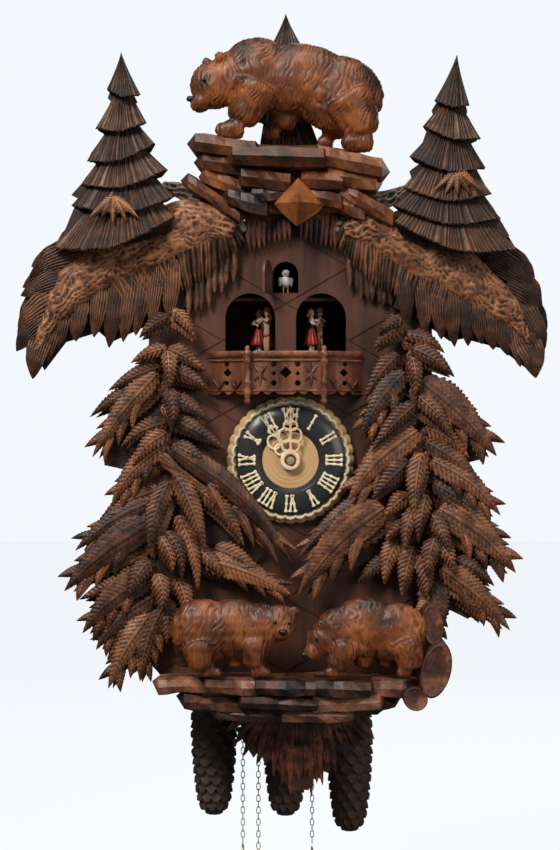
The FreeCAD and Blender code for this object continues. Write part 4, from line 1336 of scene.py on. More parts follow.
@dataclass
class Dancers:
    """Four couples on the turning disc, each a woman and a man in one hold."""

    centre: Place = (-1.0, -108.0)
    circle: float = 40.0
    floor: float = -113.0

    def spread(self, one: Carving) -> Carving:
        """Repeats a couple's shells at the four quarters of the disc.

        Args:
            one: The couple's carving.

        Returns:
            The carving of all four.
        """
        many = Carving(one.name)
        points = np.concatenate(one.points)
        for quarter in range(4):
            turn = math.radians(45 + 90 * quarter) - math.pi / 2
            cos, sin = math.cos(turn), math.sin(turn)
            x = points[:, 0] * cos - (points[:, 1] + self.circle) * sin
            y = points[:, 0] * sin + (points[:, 1] + self.circle) * cos
            base_x = self.centre[0] + self.circle * math.cos(turn - math.pi / 2)
            base_y = self.centre[1] + self.circle * math.sin(turn - math.pi / 2)
            many.points.append(np.stack([base_x + x, base_y + y, points[:, 2] + self.floor], axis=1))
            for source, target in ((one.quads, many.quads), (one.tris, many.tris)):
                target.extend(faces + many.count for faces in source)
            many.carve.extend(one.carve)
            many.tone.extend(one.tone)
            many.count += len(points)
        return many

    def build(self) -> None:
        """Models one couple at the front of the disc, part by part, and repeats each part."""
        w, m, y = -6.5, 6.2, -self.circle
        parts: dict[str, Carving] = {}

        def part(name: str) -> Carving:
            """The carving of one part, made when first asked for."""
            return parts.setdefault(name, Carving("dancer_" + name))

        part("skirts").turned([(0, 9), (8.2, 9.2), (8.6, 10.5), (7.6, 15), (5.6, 21), (3.4, 27), (2.9, 29),
            (0, 29.4)],
                              (w, y, 0), around=40, flutes=9, flute=0.9)
        part("bodices").turned([(0, 27), (3.0, 27.4), (2.9, 29), (3.5, 33), (3.3, 35.5), (0, 36)], (w, y, 0),
            around=20)
        part("blouses").turned([(0, 34), (3.6, 34.3), (3.9, 36), (2.8, 38), (1.5, 39), (0, 39.4)], (w, y, 0),
            around=20)
        part("blouses").limb([(w + 2.6, y - 2.4, 36.6), (w + 5, y - 4.2, 36), (w + 8, y - 4.0, 38)],
            [1.7, 1.7, 1.2])
        part("blouses").limb([(w - 2.8, y - 1.4, 36.6), (w - 3.6, y - 4.6, 33), (w + 1.0, y - 6.0, 32)],
            [1.7, 1.7, 1.2])
        part("stockings").limb([(w - 1.8, y, 10), (w - 2.0, y - 0.4, 5), (w - 2.2, y - 0.6, 1.6)],
            [1.6, 1.5, 1.2])
        part("stockings").limb([(w + 1.8, y, 10), (w + 2.0, y - 0.4, 5), (w + 2.2, y - 0.6, 1.6)],
            [1.6, 1.5, 1.2])
        for x in (w - 2.3, w + 2.2, m - 2.0, m + 2.0):
            part("shoes").ball((x, y - 1.6, 1.2), (1.6, 2.8, 1.2), around=12)
        for x in (w, m):
            part("faces").ball((x, y - 0.4, 43.4), (2.9, 3.0, 3.4), around=18)
            part("faces").ball((x, y - 3.5, 43.2), (0.6, 0.7, 0.7), around=8)
            part("faces").limb([(x, y, 38), (x, y, 41)], [1.4, 1.4])
            for dx in (-1.0, 1.0):
                part("eyes").ball((x + dx, y - 3.05, 44.1), (0.35, 0.35, 0.4), around=8)
        for x, z in ((w + 9, 38.4), (w + 1.8, 31.8), (m - 9.4, 30.4)):
            part("faces").ball((x, y - 4.8, z), (1.3, 1.2, 1.2), around=10)
        part("hair").ball((w, y + 0.9, 44.6), (3.4, 3.2, 3.4), around=16)
        part("hair").ball((w - 1.6, y + 3.2, 42.0), (1.7, 1.6, 2.6), around=12)
        part("ribbons").ball((w, y + 0.8, 48.1), (2.6, 1.6, 1.2), around=12)
        part("hats").turned([(0, 46), (4.9, 46.0), (5.0, 46.6), (3.1, 47.1), (2.9, 49.2), (2.2, 50.2),
            (0, 50.4)],
                            (m, y, 0), around=24)
        part("suits").turned([(0, 19), (3.9, 19.2), (3.7, 23), (3.3, 27), (4.2, 34), (3.6, 37.4), (1.6, 39),
            (0, 39.2)],
                             (m, y, 0), around=22)
        part("suits").limb([(m - 2.6, y - 2.2, 36.6), (m - 5.6, y - 4.6, 34.6), (m - 9.0, y - 4.6, 31)],
            [1.9, 1.8, 1.3])
        part("suits").limb([(m + 3.2, y - 1.0, 36.6), (m + 3.6, y - 4.2, 35.4), (m - 2.6, y - 5.8, 38)],
            [1.9, 1.8, 1.3])
        for side in (-1.8, 1.8):
            part("trousers").limb([(m + side, y, 21), (m + side * 1.1, y - 0.8, 11), (m + side, y, 1.8)],
                [2.2, 1.9, 1.5])
        looks = {"skirts": (RED, "dress_red"), "bodices": (JET, "dress_red"), "blouses": (WHITE, "dress_red"),
                 "stockings": (WHITE, "figure_paint"), "shoes": (JET, "figure_paint"),
                 "faces": (SKIN, "figure_paint"),
                 "eyes": (JET, "figure_paint"), "hair": (STRAW, "figure_paint"),
                 "ribbons": (RED, "figure_paint"),
                 "hats": (STRAW, "suit_brown"), "suits": (BROWN, "suit_brown"),
                 "trousers": (BROWN, "suit_brown")}
        stands = {"skirts": ("dancer_women",), "suits": ("dancer_men",)}
        for name, carving in parts.items():
            finish, slot = looks[name]
            self.spread(carving).build("dancers", finish, slot, stands.get(name, ()))


@dataclass
class Cuckoo:
    """The small grey bird that stands in the doorway on two legs."""

    x: float = -5.0
    y: float = -156.5
    foot: float = -49.0

    def build(self) -> None:
        """Builds the bird's body, wings, tail, head, beak, eyes and legs."""
        x, y, z = self.x, self.y, self.foot
        plumage = Carving("cuckoo_plumage")
        plumage.ball((x, y, z + 12.5), (5.6, 6.0, 6.6), around=22)
        plumage.ball((x, y - 2.2, z + 21.5), (4.2, 4.4, 4.2), around=20)
        plumage.limb([(x, y + 2, z + 14), (x, y + 6, z + 10), (x, y + 9, z + 6)], [3.6, 2.8, 1.6])
        plumage.build("bird", FEATHER, "bird_paint", ("cuckoo_bird",))
        wings = Blades(Gouge(Cut.LENGTHWISE, 2.0, 0.5, loops=20, across=9, lines=5), 3)
        for side in (-1, 1):
            wings.place((x + side * 5.0, y - 3.0, z + 17), (x + side * 6.2, y - 1.0, z + 6.5), 6.4, 1.5, 0.8)
        feathers = Carving("cuckoo_wings")
        wings.carve_into(feathers)
        feathers.build("bird", FEATHER, "bird_paint")
        beak = Carving("cuckoo_beak")
        beak.turned([(0, -0.5), (1.5, 0), (1.2, 1.4), (0.6, 3.2), (0, 4.2)], (x, y - 5.8, z + 21), FRONT, 12)
        for side in (-2.4, 2.4):
            beak.limb([(x + side, y, z + 8), (x + side, y - 0.4, z + 4), (x + side, y - 0.6, z + 0.6)],
                [0.9, 0.7, 0.7], 8)
            beak.ball((x + side, y - 2.0, z + 0.7), (1.2, 2.6, 0.6), around=10)
        beak.build("bird", BEAK, "bird_paint")
        eyes = Carving("cuckoo_eyes")
        for side in (-1.7, 1.7):
            eyes.ball((x + side, y - 6.0, z + 22.6), (0.6, 0.6, 0.7), around=8)
        eyes.build("bird", JET, "bird_paint")


# ---- weights and chains ----------------------------------------------------------------


@dataclass
class ConeWeight:
    """A cast weight in the shape of a spruce cone."""

    side: str
    x: float
    foot: float
    y: float = -97.0
    rows: int = 17
    columns: int = 11

    def build(self) -> None:
        """Casts the cone: a turned outline raised by overlapping scales.

        In units of one scale, a point belongs to the uppermost scale whose rounded lip reaches it. Its
        height grows from the scale's root to its lip as the distance to the power 1.6.
        """
        outline = curve([(0, 0), (10, 3), (17.5, 15), (21.5, 40), (24, 68), (25.2, 96), (24.4, 122),
            (19, 146), (9, 162), (0, 168)], 190)
        radius, height = np.maximum(outline[1:-1, 0], 0.4)[:, None], outline[1:-1, 1][:, None]
        around = 154
        turn = (np.arange(around) / around)[None]
        down = (168.0 - height) / 168.0 * self.rows
        best = np.zeros((len(radius), around))
        for back in (0, 1):
            row = np.floor(down) - back
            column = turn * self.columns + 0.5 * (row % 2)
            sideways = (column - np.floor(column) - 0.5) * 2
            drop = (down - row) / (1.4 - 0.55 * sideways**2)
            inside = (drop <= 1.0) & (drop >= 0.0)
            best = np.where(inside, np.maximum(best, drop**1.6), best)
        taper = np.clip(radius / 12.0, 0.15, 1.0)
        spun = radius - 4.0 * taper + 5.0 * taper * best
        angle = turn * math.tau
        rings = np.stack([
            self.x + spun * np.cos(angle), self.y + spun * np.sin(angle),
            np.broadcast_to(self.foot + height, spun.shape)], axis=-1)
        poles = np.array([[self.x, self.y, self.foot], [self.x, self.y, self.foot + 168.0]])
        cone = Carving("cone_" + self.side)
        # painted shade: each scale darkens towards its root, under the lip of the scale above
        cone.add(rings[None], poles[:1], poles[1:], np.clip(1.0 - 1.7 * best, 0, 1)[None], 0.5)
        cone.build(self.side + "_weight", IRON, "weight_iron", ("weight_" + self.side,))
        hook = Carving("cone_hook_" + self.side)
        hook.limb([(self.x, self.y, self.foot + 164), (self.x, self.y, self.foot + 172),
            (self.x + 3, self.y, self.foot + 176),
                   (self.x, self.y, self.foot + 180)], [1.3, 1.3, 1.2, 1.1], 10)
        hook.build(self.side + "_weight", BRASS, "clock_brass")


@dataclass
class LinkChain:
    """A run of brass links hanging straight down."""

    name: str
    node: str
    body: str
    x: float
    top: float
    foot: float
    y: float = -97.0
    pitch: float = 6.5
    wire: float = 0.55
    length: float = 8.7
    width: float = 4.9
    ring: bool = False

    def build(self) -> None:
        """Hangs the links, every other one turned a quarter.

        A link's middle line is an oval whose ends are squared by the power 0.8, and its section is round.
        """
        count = int((self.top - self.foot) / self.pitch)
        u = np.arange(14) * math.tau / 14
        v = np.arange(5) * math.tau / 5
        out = self.wire * np.cos(v)
        half_w, half_l = self.width / 2 - self.wire, self.length / 2 - self.wire
        across = np.sign(np.cos(u)) * np.abs(np.cos(u)) ** 0.8
        upward = np.sign(np.sin(u)) * np.abs(np.sin(u)) ** 0.8
        flat = across[:, None] * half_w + np.cos(u)[:, None] * out
        high = upward[:, None] * half_l + np.sin(u)[:, None] * out
        proud = np.broadcast_to(self.wire * np.sin(v), flat.shape)
        middle = self.top - self.pitch * (np.arange(count) + 0.5)
        odd = (np.arange(count) % 2)[:, None, None]
        rings = np.stack([
            self.x + np.where(odd, flat, proud), self.y + np.where(odd, proud, flat), middle[:, None, None]
            + high], axis=-1)
        made = Carving(self.name)
        made.add_hoops(rings)
        if self.ring:
            self.pull_ring(made)
        made.build(self.body, BRASS, "clock_brass", (self.node,))

    def pull_ring(self, made: Carving) -> None:
        """Adds the finger ring at the end of a pulling chain, a round hoop in the YZ plane.

        Args:
            made: The chain's carving.
        """
        u = np.arange(32) * math.tau / 32
        v = np.arange(10) * math.tau / 10
        reach = 9.0 + 1.3 * np.cos(v)
        ring_y = self.y + reach * np.cos(u)[:, None]
        ring_z = self.foot - 8.0 + reach * np.sin(u)[:, None]
        ring_x = np.broadcast_to(self.x + 1.3 * np.sin(v), ring_y.shape)
        made.add_hoops(np.stack([ring_x, ring_y, ring_z], axis=-1)[None])


# ---- foot of the clock -------------------------------------------------------------------


@dataclass
class Foot:
    """The rock ledge, its log and the hanging fan below."""

    ledge: float = -449.0

    def build(self) -> None:
        """Builds the ledge, the log and the fan."""
        rock = Carving("ledge_carved")
        slabs(rock, [
            (-138, 134, 0, -14, 0, -226), (-122, 118, -4, -40, 0, -222), (-90, 92, -26, -48, 0, -220),
            (-145, -78, -1, -22, -2, -232), (-96, -24, 0, -22, 0, -243), (-46, 36, 0, -22, 0, -247),
            (16, 92, 0, -23, 1, -244), (76, 144, -1, -25, 1, -231), (-120, -40, -16, -38, 4, -228),
            (-64, 40, -17, -36, 2, -240),
            (12, 104, -18, -40, -3, -236), (-88, 6, -30, -50, 3, -226), (-20, 74, -31, -51, 0, -230),
            (60, 116, -26, -44, -8, -220)], -171, 600, 2.4)
        for number, shell in enumerate(rock.points):
            rock.points[number] = shell + np.array([0.0, 0.0, self.ledge + 0.2])
        rock.build("clock_case", LEDGE_STONE, "rock_wood", ("ledge_rock",), smooth=False)
        self.log()
        self.fan()

    def log(self) -> None:
        """The cut logs: oval sections along Y, their ends stepped in rings like the years of the wood."""
        log_end = Carving("ledge_log_carved")
        steps = np.array([(-171, 0), (-171, 1), (-190, 1.03), (-210, 0.98), (-232, 1.02), (-244, 1),
            (-246.5, 0.95), (-246.8, 0.9), (-245.4, 0.84),
                          (-246.4, 0.7), (-245.6, 0.62), (-246.4, 0.46), (-245.8, 0.38), (-246.4, 0.22),
                          (-246, 0)])
        for centre, half, turn in (((149, -441), (15.5, 29), 14.0), ((147, -396), (11, 22), -6.0),
                ((128, -470), (13, 12), 40.0)):
            middle = np.stack([np.full(15, float(centre[0])), steps[:, 0] * (1.0 if turn > 10 else 0.93),
                np.full(15, float(centre[1]))], axis=1)
            lean = math.radians(turn)
            side = np.array([math.cos(lean), 0.0, -math.sin(lean)]) * half[0] * steps[:, 1:]
            rise = np.array([math.sin(lean), 0.0, math.cos(lean)]) * half[1] * steps[:, 1:]
            bark = np.where(np.arange(13) < 6, 0.55, 0.1)[:, None] * np.ones(40)
            log_end.loft(middle, side, rise, 40, carve=bark[None])
        log_end.build("clock_case", LEDGE_STONE, "rock_wood", ("ledge_log",))

    def fan(self) -> None:
        """The fan: four rows of long needles that gather below the ledge."""
        tips = [(-68, -512), (-60, -526), (-51, -540), (-43, -532), (-36, -548), (-29, -544), (-18, -560),
            (-9, -570), (0, -581),
                (11, -577), (22, -582), (28, -568), (34, -570), (41, -558), (48, -560), (56, -532),
                (70, -533), (80, -524), (89, -521)]
        needles = Blades(Gouge(Cut.LENGTHWISE, 5.0, 1.3, loops=36, across=11, lines=3, blunt=3.0), 21)
        between = [(0.5 * (a[0] + b[0]), max(a[1], b[1]) + 5) for a, b in zip(tips, tips[1:])]
        for reach, y_top, y_tip in ((1.0, -182, -178), (0.84, -185, -181), (0.62, -188, -184),
                (0.36, -193, -190)):
            for x, z in tips + between:
                near = 10 + (x - 10) * (0.55 if reach == 1.0 else 0.62)
                end = -500 + (z + 500) * reach
                needles.place((near, y_top, -486), (10 + (x - 10) * (0.75 + 0.25 * reach), y_tip, end), 12,
                    4.2, 2.0)
        fan = Carving("base_fan")
        needles.carve_into(fan)
        fan.build("clock_case", TAIL, "carved_wood", ("base_tail",))
        backing("base_tail", "base_fan_back", TAIL, "carved_wood", 0.3, 0.8)


# ---- crest ---------------------------------------------------------------------------------


Slab = tuple[float, float, float, float, float, float]


def slabs(carving: Carving, table: list[Slab], y_back: float, seed: int, facet: float) -> None:
    """Adds split slabs of rock, each a wedge of a few broad facets.

    A slab runs from one X to another, from its top to its foot, and leans: its far end is moved down by
    the fifth value. Its front is the sixth.

    Args:
        carving: Where they go.
        table: X of both ends, top, foot, fall and front of each slab.
        y_back: Depth of their backs.
        seed: Seed of the facets and tones.
        facet: How deep the facets are struck.
    """
    chance = np.random.default_rng(seed)
    for number, (x0, x1, top, foot, fall, front) in enumerate(table):
        wide = x1 - x0
        shape = [
            (x0, top - 0.2 * (top - foot), foot + 0.5 * (top - foot), front + 9, y_back),
            (x0 + 0.12 * wide, top, foot + chance.uniform(0, 4), front + chance.uniform(0, 3), y_back),
            (x0 + 0.6 * wide, top - 0.6 * fall, foot - 0.6 * fall, front, y_back),
            (x1 - 0.08 * wide, top - fall - chance.uniform(0, 3), foot - fall + 1, front
            + chance.uniform(1, 4), y_back),
            (x1, top - fall - 0.3 * (top - foot), foot - fall + 0.4 * (top - foot), front + 9, y_back)]
        Rock("slab", shape, seed + number, facet, 7, 10, chance.uniform(0.2, 0.8)).shells(carving)


@dataclass
class Crest:
    """The split rock over the gable that the great bear stands on."""

    def build(self) -> None:
        """Stacks the slabs of the shelf, its shoulders and its prow, and the splinters under them."""
        rock = Carving("crest_carved")
        slabs(rock, [
            (-92, 96, 112, 62, 8, -198), (-62, 78, 76, 40, 0, -204), (-110, -26, 119, 92, 8, -214),
            (-103, -12, 100, 72, 8, -207), (-76, 50, 104, 76, 2, -227),
            (18, 106, 106, 78, 14, -219), (30, 98, 84, 56, 4, -212), (-98, -30, 84, 58, 18, -203),
            (-60, 8, 82, 56, 6, -219),
            (4, 62, 80, 54, 2, -217)], -122, 500, 2.6)
        slabs(rock, [
            (-56, 70, 66, 30, 0, -199), (-60, 64, 48, 22, 0, -187), (-116, -44, 76, 54, 36, -204),
            (-72, -18, 62, 36, 12, -211), (42, 116, 70, 46, 34, -210), (36, 84, 58, 34, 14, -204),
            (-46, 0, 62, 40, -2, -214), (14, 58, 60, 38, 6, -213)], -172, 540, 2.4)
        prow = np.array([(8, -176, 72), (8, -214, 68), (-17, -206, 42), (8, -227, 42), (35, -206, 41),
            (6, -212, 18), (6, -176, 20)], float)
        loops = np.array([[prow[1], prow[2], prow[2] + (0, 26, 0), prow[1] + (0, 20, 0), prow[4]
            + (0, 26, 0), prow[4]],
                          [prow[3], prow[2], prow[2] + (0, 28, 0), prow[6], prow[4] + (0, 28, 0), prow[4]],
                          [prow[5], prow[2] + (6, 0, -8), prow[2] + (6, 28, -8), prow[6], prow[4]
                          + (-6, 28, -8), prow[4] + (-6, 0, -8)]])
        rock.add(loops[None], prow[:1], prow[6:], 0.05, 0.8)
        rock.build("clock_case", CREST_STONE, "rock_wood", ("crest_rock",), smooth=False)
        splinters = Blades(Gouge(Cut.LENGTHWISE, 5.0, 1.0, loops=24, across=9, lines=3, blunt=3.0), 31)
        for side in (-1, 1):
            for step in range(9):
                x = side * (6 + 5.5 * step)
                splinters.place((x + 5, -180, 44 - 1.2 * step), (x * 0.96 + 5, -182, 6 - 1.6 * step), 7.5,
                    3.0, 0.5)
        chips = Carving("gable_splinters")
        splinters.carve_into(chips)
        chips.build("clock_case", TAIL, "rock_wood")


# ---- the frame's own parts ---------------------------------------------------------------------


FRAME_FINISHES: dict[Finish, tuple[str, ...]] = {
    BOARD: ("case_front_panel", "cuckoo_door"),
    BALCONY_BOARD: ("balcony_front", "balcony_floor"),
    PLANK: ("case_sides", "case_floor", "roof_boards", "back_door", "back_rails"),
    INSIDE: ("case_shelves", "bellows_boxes", "bellows_lid_left", "bellows_lid_right", "music_bed"),
    # the carousel takes the near-black painted shade of the inside of the case
    INSIDE_SHADE: ("carousel",),
    BRASS: ("movement_frame", "centre_arbor", "great_wheel", "minute_wheel", "hour_wheel", "music_cylinder",
    "pendulum",
            "hand_nut", "chain_wheel_left", "chain_wheel_middle", "chain_wheel_right"),
    STEEL: ("gong", "gong_hammer", "hanger_plate"),
}


def dress_frame() -> None:
    """Gives every CAD node that stays in sight its finish, in each of its material slots."""
    for finish, names in FRAME_FINISHES.items():
        for name in names:
            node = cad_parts[name]
            if not node.material_slots:
                node.data.materials.append(finish.material())
            for place in node.material_slots:
                place.material = finish.material()
            log.info("%s: %s", name, finish.name)


# ---- studio -----------------------------------------------------------------------------------


@dataclass
class Studio:
    """Pale floor, soft lights and the camera, in metres."""

    floor_z: float = -0.80
    view_x: float = -0.011
    view_z: float = -0.189
    plane_y: float = -0.190
    distance: float = 2.3
    view_height: float = 0.8925

    def build(self) -> None:
        """Lays the floor, hangs the lights and sets the camera square to the front."""
        data = bpy.data.meshes.new("studio_floor")
        data.from_pydata([(-9, -9, self.floor_z), (9, -9, self.floor_z), (9, 9, self.floor_z),
            (-9, 9, self.floor_z)], [], [(0, 1, 2, 3)])
        pale = Finish("studio_floor_paint", (76, 80, 84), (78, 82, 86), (80, 84, 88), roughness=0.9,
            grain=40, bump=0.0, carved=False)
        paint = pale.material()
        glow = paint.node_tree.nodes["Principled BSDF"]
        glow.inputs["Emission Color"].default_value = linear((244, 248, 252))
        seen = paint.node_tree.nodes.new("ShaderNodeLightPath")
        shine = paint.node_tree.nodes.new("ShaderNodeMapRange")
        shine.inputs["To Max"].default_value = 0.94
        paint.node_tree.links.new(seen.outputs["Is Camera Ray"], shine.inputs["Value"])
        paint.node_tree.links.new(shine.outputs["Result"], glow.inputs["Emission Strength"])
        data.materials.append(paint)
        floor = bpy.data.objects.new("studio_floor", data)
        bpy.context.scene.collection.objects.link(floor)
        world = bpy.data.worlds.new("studio_air")
        world.use_nodes = True
        world.node_tree.nodes["Background"].inputs["Color"].default_value = linear((244, 248, 252))
        air = world.node_tree.nodes["Background"]
        path = world.node_tree.nodes.new("ShaderNodeLightPath")
        dim = world.node_tree.nodes.new("ShaderNodeMapRange")
        dim.inputs["To Min"].default_value = 0.13
        dim.inputs["To Max"].default_value = 1.0
        world.node_tree.links.new(path.outputs["Is Camera Ray"], dim.inputs["Value"])
        world.node_tree.links.new(dim.outputs["Result"], air.inputs["Strength"])
        bpy.context.scene.world = world
        for name, at, power, size in (("key", (-1.1, -2.0, 1.5), 62.0, 0.8),
                ("fill", (1.6, -2.0, 0.3), 14.0, 1.2),
                                      ("top", (0.1, -0.7, 1.8), 20.0, 1.0), ("back", (0.6, 2.2, 1.0), 22.0,
                                      1.6)):
            self.lamp(name, at, power, size)
        lens = bpy.data.cameras.new("studio_camera")
        lens.sensor_fit = "VERTICAL"
        lens.sensor_height = 24.0
        lens.lens = 24.0 * self.distance / self.view_height
        lens.clip_end = 60.0
        camera = bpy.data.objects.new("studio_camera", lens)
        camera.location = (self.view_x, self.plane_y - self.distance, self.view_z)
        camera.rotation_euler = (math.pi / 2, 0.0, 0.0)
        bpy.context.scene.collection.objects.link(camera)
        bpy.context.scene.camera = camera
        bpy.context.scene.view_settings.view_transform = "Standard"

    def lamp(self, name: str, at: Point, power: float, size: float) -> None:
        """Hangs one soft square lamp that faces the middle of the clock.

        Args:
            name: The lamp's name.
            at: Where it hangs.
            power: Its power in watts.
            size: Length of its side.
        """
        data = bpy.data.lights.new("studio_" + name, "AREA")
        data.energy = power
        data.color = (1.0, 0.95, 0.88)
        data.size = size
        made = bpy.data.objects.new("studio_" + name, data)
        made.location = at
        aim = np.array([0.0, -0.15, -0.2]) - np.array(at)
        flat = math.hypot(aim[0], aim[1])
        made.rotation_euler = (math.atan2(flat, -aim[2]), 0.0, math.atan2(-aim[0], aim[1]))
        bpy.context.scene.collection.objects.link(made)


# ---- everything in order --------------------------------------------------------------------------


def firs() -> list[Fir]:
    """The two firs, frond by frond from the top down."""
    left = Fir("fir_left", "front_tree_left", [
        (-136, -127, -192, -153, 22, 0), (-150, -150, -211, -181, 24, 0), (-140, -134, -208, -223, 34, 1),
        (-130, -108, -168, -124, 20, 1), (-128, -108, -88, -133, 24, 1), (-129, -75, -159, -98, 19, 2),
        (-124, -68, -99, -101, 19, 2),
        (-129, -131, -84, -154, 24, 1), (-131, -162, -84, -187, 24, 2), (-131, -180, -67, -216, 26, 1),
        (-131, -186, -179, -213, 24, 1),
        (-130, -197, -166, -232, 22, 2), (-124, -211, -84, -232, 26, 2), (-128, -112, -128, -152, 20, 3),
        (-128, -150, -124, -190, 20, 3),
        (-131, -209, -188, -273, 32, 1), (-138, -257, -202, -292, 28, 0), (-142, -268, -226, -321, 34, 1),
        (-144, -290, -237, -363, 42, 2),
        (-124, -214, 2, -334, 34, 3), (-103, -238, -45, -255, 22, 1), (-85, -262, -20, -293, 24, 1),
        (-96, -256, -48, -316, 24, 2),
        (-120, -240, -88, -321, 26, 3), (-128, -248, -145, -330, 26, 3), (-118, -284, -96, -362, 22, 2),
        (-129, -300, -112, -348, 22, 4),
        (-136, -306, -122, -344, 20, 4), (-102, -318, -66, -352, 22, 1), (-90, -330, 2, -368, 32, 1),
        (-80, -318, -30, -346, 26, 0),
        (-156, -344, -199, -361, 22, 1), (-160, -352, -222, -372, 26, 1), (-145, -346, -218, -407, 36, 2),
        (-145, -370, -204, -425, 32, 1),
        (-148, -392, -193, -436, 26, 0), (-148, -388, -191, -465, 34, 2), (-137, -384, -158, -458, 30, 1),
        (-139, -345, -134, -382, 22, 4),
        (-146, -330, -170, -372, 24, 3), (-134, -370, -130, -420, 28, 0), (-118, -350, -108, -398, 26, 0)],
        101)
    right = Fir("fir_right", "front_tree_right", [
        (117, -77, 92, -95, 17, 2), (118, -82, 85, -112, 22, 1), (122, -94, 162, -114, 22, 1),
        (128, -108, 172, -139, 24, 2),
        (136, -142, 216, -222, 42, 2), (133, -158, 170, -205, 26, 3), (113, -114, 77, -163, 28, 1),
        (120, -133, 73, -204, 34, 2),
        (131, -166, 84, -217, 26, 3), (128, -118, 130, -160, 20, 3), (142, -190, 188, -224, 24, 1),
        (143, -206, 198, -248, 28, 1),
        (148, -226, 220, -284, 34, 2), (133, -194, 60, -270, 40, 2), (124, -226, 84, -268, 28, 3),
        (136, -218, 130, -290, 28, 4),
        (141, -262, 133, -311, 22, 4), (130, -276, 119, -320, 20, 4), (124, -262, 98, -286, 22, 2),
        (121, -292, 98, -309, 18, 3),
        (98, -274, 8, -366, 46, 3), (92, -262, 7, -330, 30, 1), (150, -250, 214, -298, 28, 1),
        (158, -262, 226, -319, 32, 1),
        (156, -276, 236, -344, 42, 2), (170, -330, 214, -358, 26, 1), (158, -338, 230, -404, 36, 2),
        (166, -352, 202, -398, 26, 1),
        (150, -308, 143, -349, 26, 4), (154, -312, 171, -343, 24, 3), (116, -306, 98, -356, 26, 1),
        (128, -316, 116, -369, 28, 2),
        (134, -326, 142, -369, 26, 2), (146, -352, 150, -418, 38, 0), (108, -330, 70, -356, 26, 0),
        (148, -282, 168, -330, 26, 3)], 102)
    return [left, right]


def eaves() -> list[Eave]:
    """The boughs of both slopes."""
    left = Eave(
        "eave_left", "roof_bough_left",
        [(-58, 14, 8), (-84, 22, 20), (-114, 20, 27), (-146, 2, 24), (-172, -12, 21), (-200, -24, 22),
        (-226, -42, 22), (-244, -66, 15),
         (-258, -90, 9), (-268, -114, 3)],
        [(-206, -8, -275, -31, 32), (-222, -34, -284, -53, 32), (-238, -54, -287, -86, 32),
        (-250, -72, -288, -112, 30), (-257, -88, -271, -141, 27)],
        [(-248, -76, -256, -122, 18), (-240, -66, -246, -108, 21), (-220, -54, -226, -101, 22),
        (-200, -42, -207, -97, 22),
         (-184, -34, -191, -108, 24), (-168, -30, -176, -102, 22), (-154, -24, -163, -95, 22),
         (-140, -20, -146, -86, 20), (-124, -14, -128, -78, 20)],
        [(-186, -40), (-172, -30), (-140, -12), (-104, 2), (-78, 16), (-64, 26)],
        [(-172, -66), (-152, -62), (-122, -54), (-100, -42), (-76, -24), (-47, 3)],
        [(-64, -40), (-76, -52), (-90, -68), (-104, -74)],
        [(-136, 64, 4), (-110, 56, 10), (-84, 44, 13), (-60, 26, 10), (-48, 14, 4)], 201)
    right = Eave(
        "eave_right", "roof_bough_right",
        [(56, 14, 8), (82, 18, 19), (111, 6, 22), (140, -12, 23), (170, -22, 24), (199, -44, 21),
        (226, -66, 16), (243, -88, 8), (250, -104, 3)],
        [(208, -12, 259, -46, 30), (228, -38, 265, -70, 28), (238, -60, 268, -109, 30),
        (242, -80, 262, -128, 26), (242, -90, 258, -140, 28)],
        [(236, -80, 242, -128, 18), (222, -74, 229, -116, 20), (206, -62, 214, -110, 22),
        (196, -56, 201, -104, 20), (183, -50, 187, -106, 22),
         (168, -44, 173, -107, 22), (154, -40, 159, -99, 20), (138, -32, 142, -93, 20),
         (120, -24, 124, -84, 20)],
        [(164, -44), (150, -34), (120, -16), (92, 0), (72, 16), (58, 25)],
        [(158, -74), (140, -66), (112, -55), (90, -44), (68, -24), (48, 0)],
        [(66, -48), (78, -58), (90, -62), (102, -66)],
        [(128, 62, 4), (104, 50, 9), (80, 42, 12), (60, 26, 10), (48, 14, 4)], 202)
    return [left, right]


def spruces() -> list[StandingSpruce]:
    """The two roof spruces and the crest spruce behind the bear."""
    left = StandingSpruce("spruce_left", "roof_tree_left", (-177, 201), [
        ((-192, 162), (-156, 156)), ((-204.5, 122), (-150, 128)), ((-213, 87), (-141, 106)),
        ((-220, 63), (-128, 79)),
        ((-229, 41), (-121, 50)), ((-248, -4), (-120, 30))], -197, -221, 301)
    right = StandingSpruce("spruce_right", "roof_tree_right", (174, 198), [
        ((150, 150), (187, 146)), ((138, 124), (199, 111)), ((124, 92), (204, 80)), ((117, 60), (211, 54)),
        ((106, 42), (220, 28)), ((108, 24), (237, -5))], -197, -221, 302)
    crest = StandingSpruce("spruce_crest", "crest_tree", (-4.7, 255), [
        ((-22, 218), (14, 218)), ((-36, 182), (27, 182)), ((-46, 142), (38, 142)), ((-36, 106), (34, 106))],
        -123, -147, 303)
    return [left, right, crest]


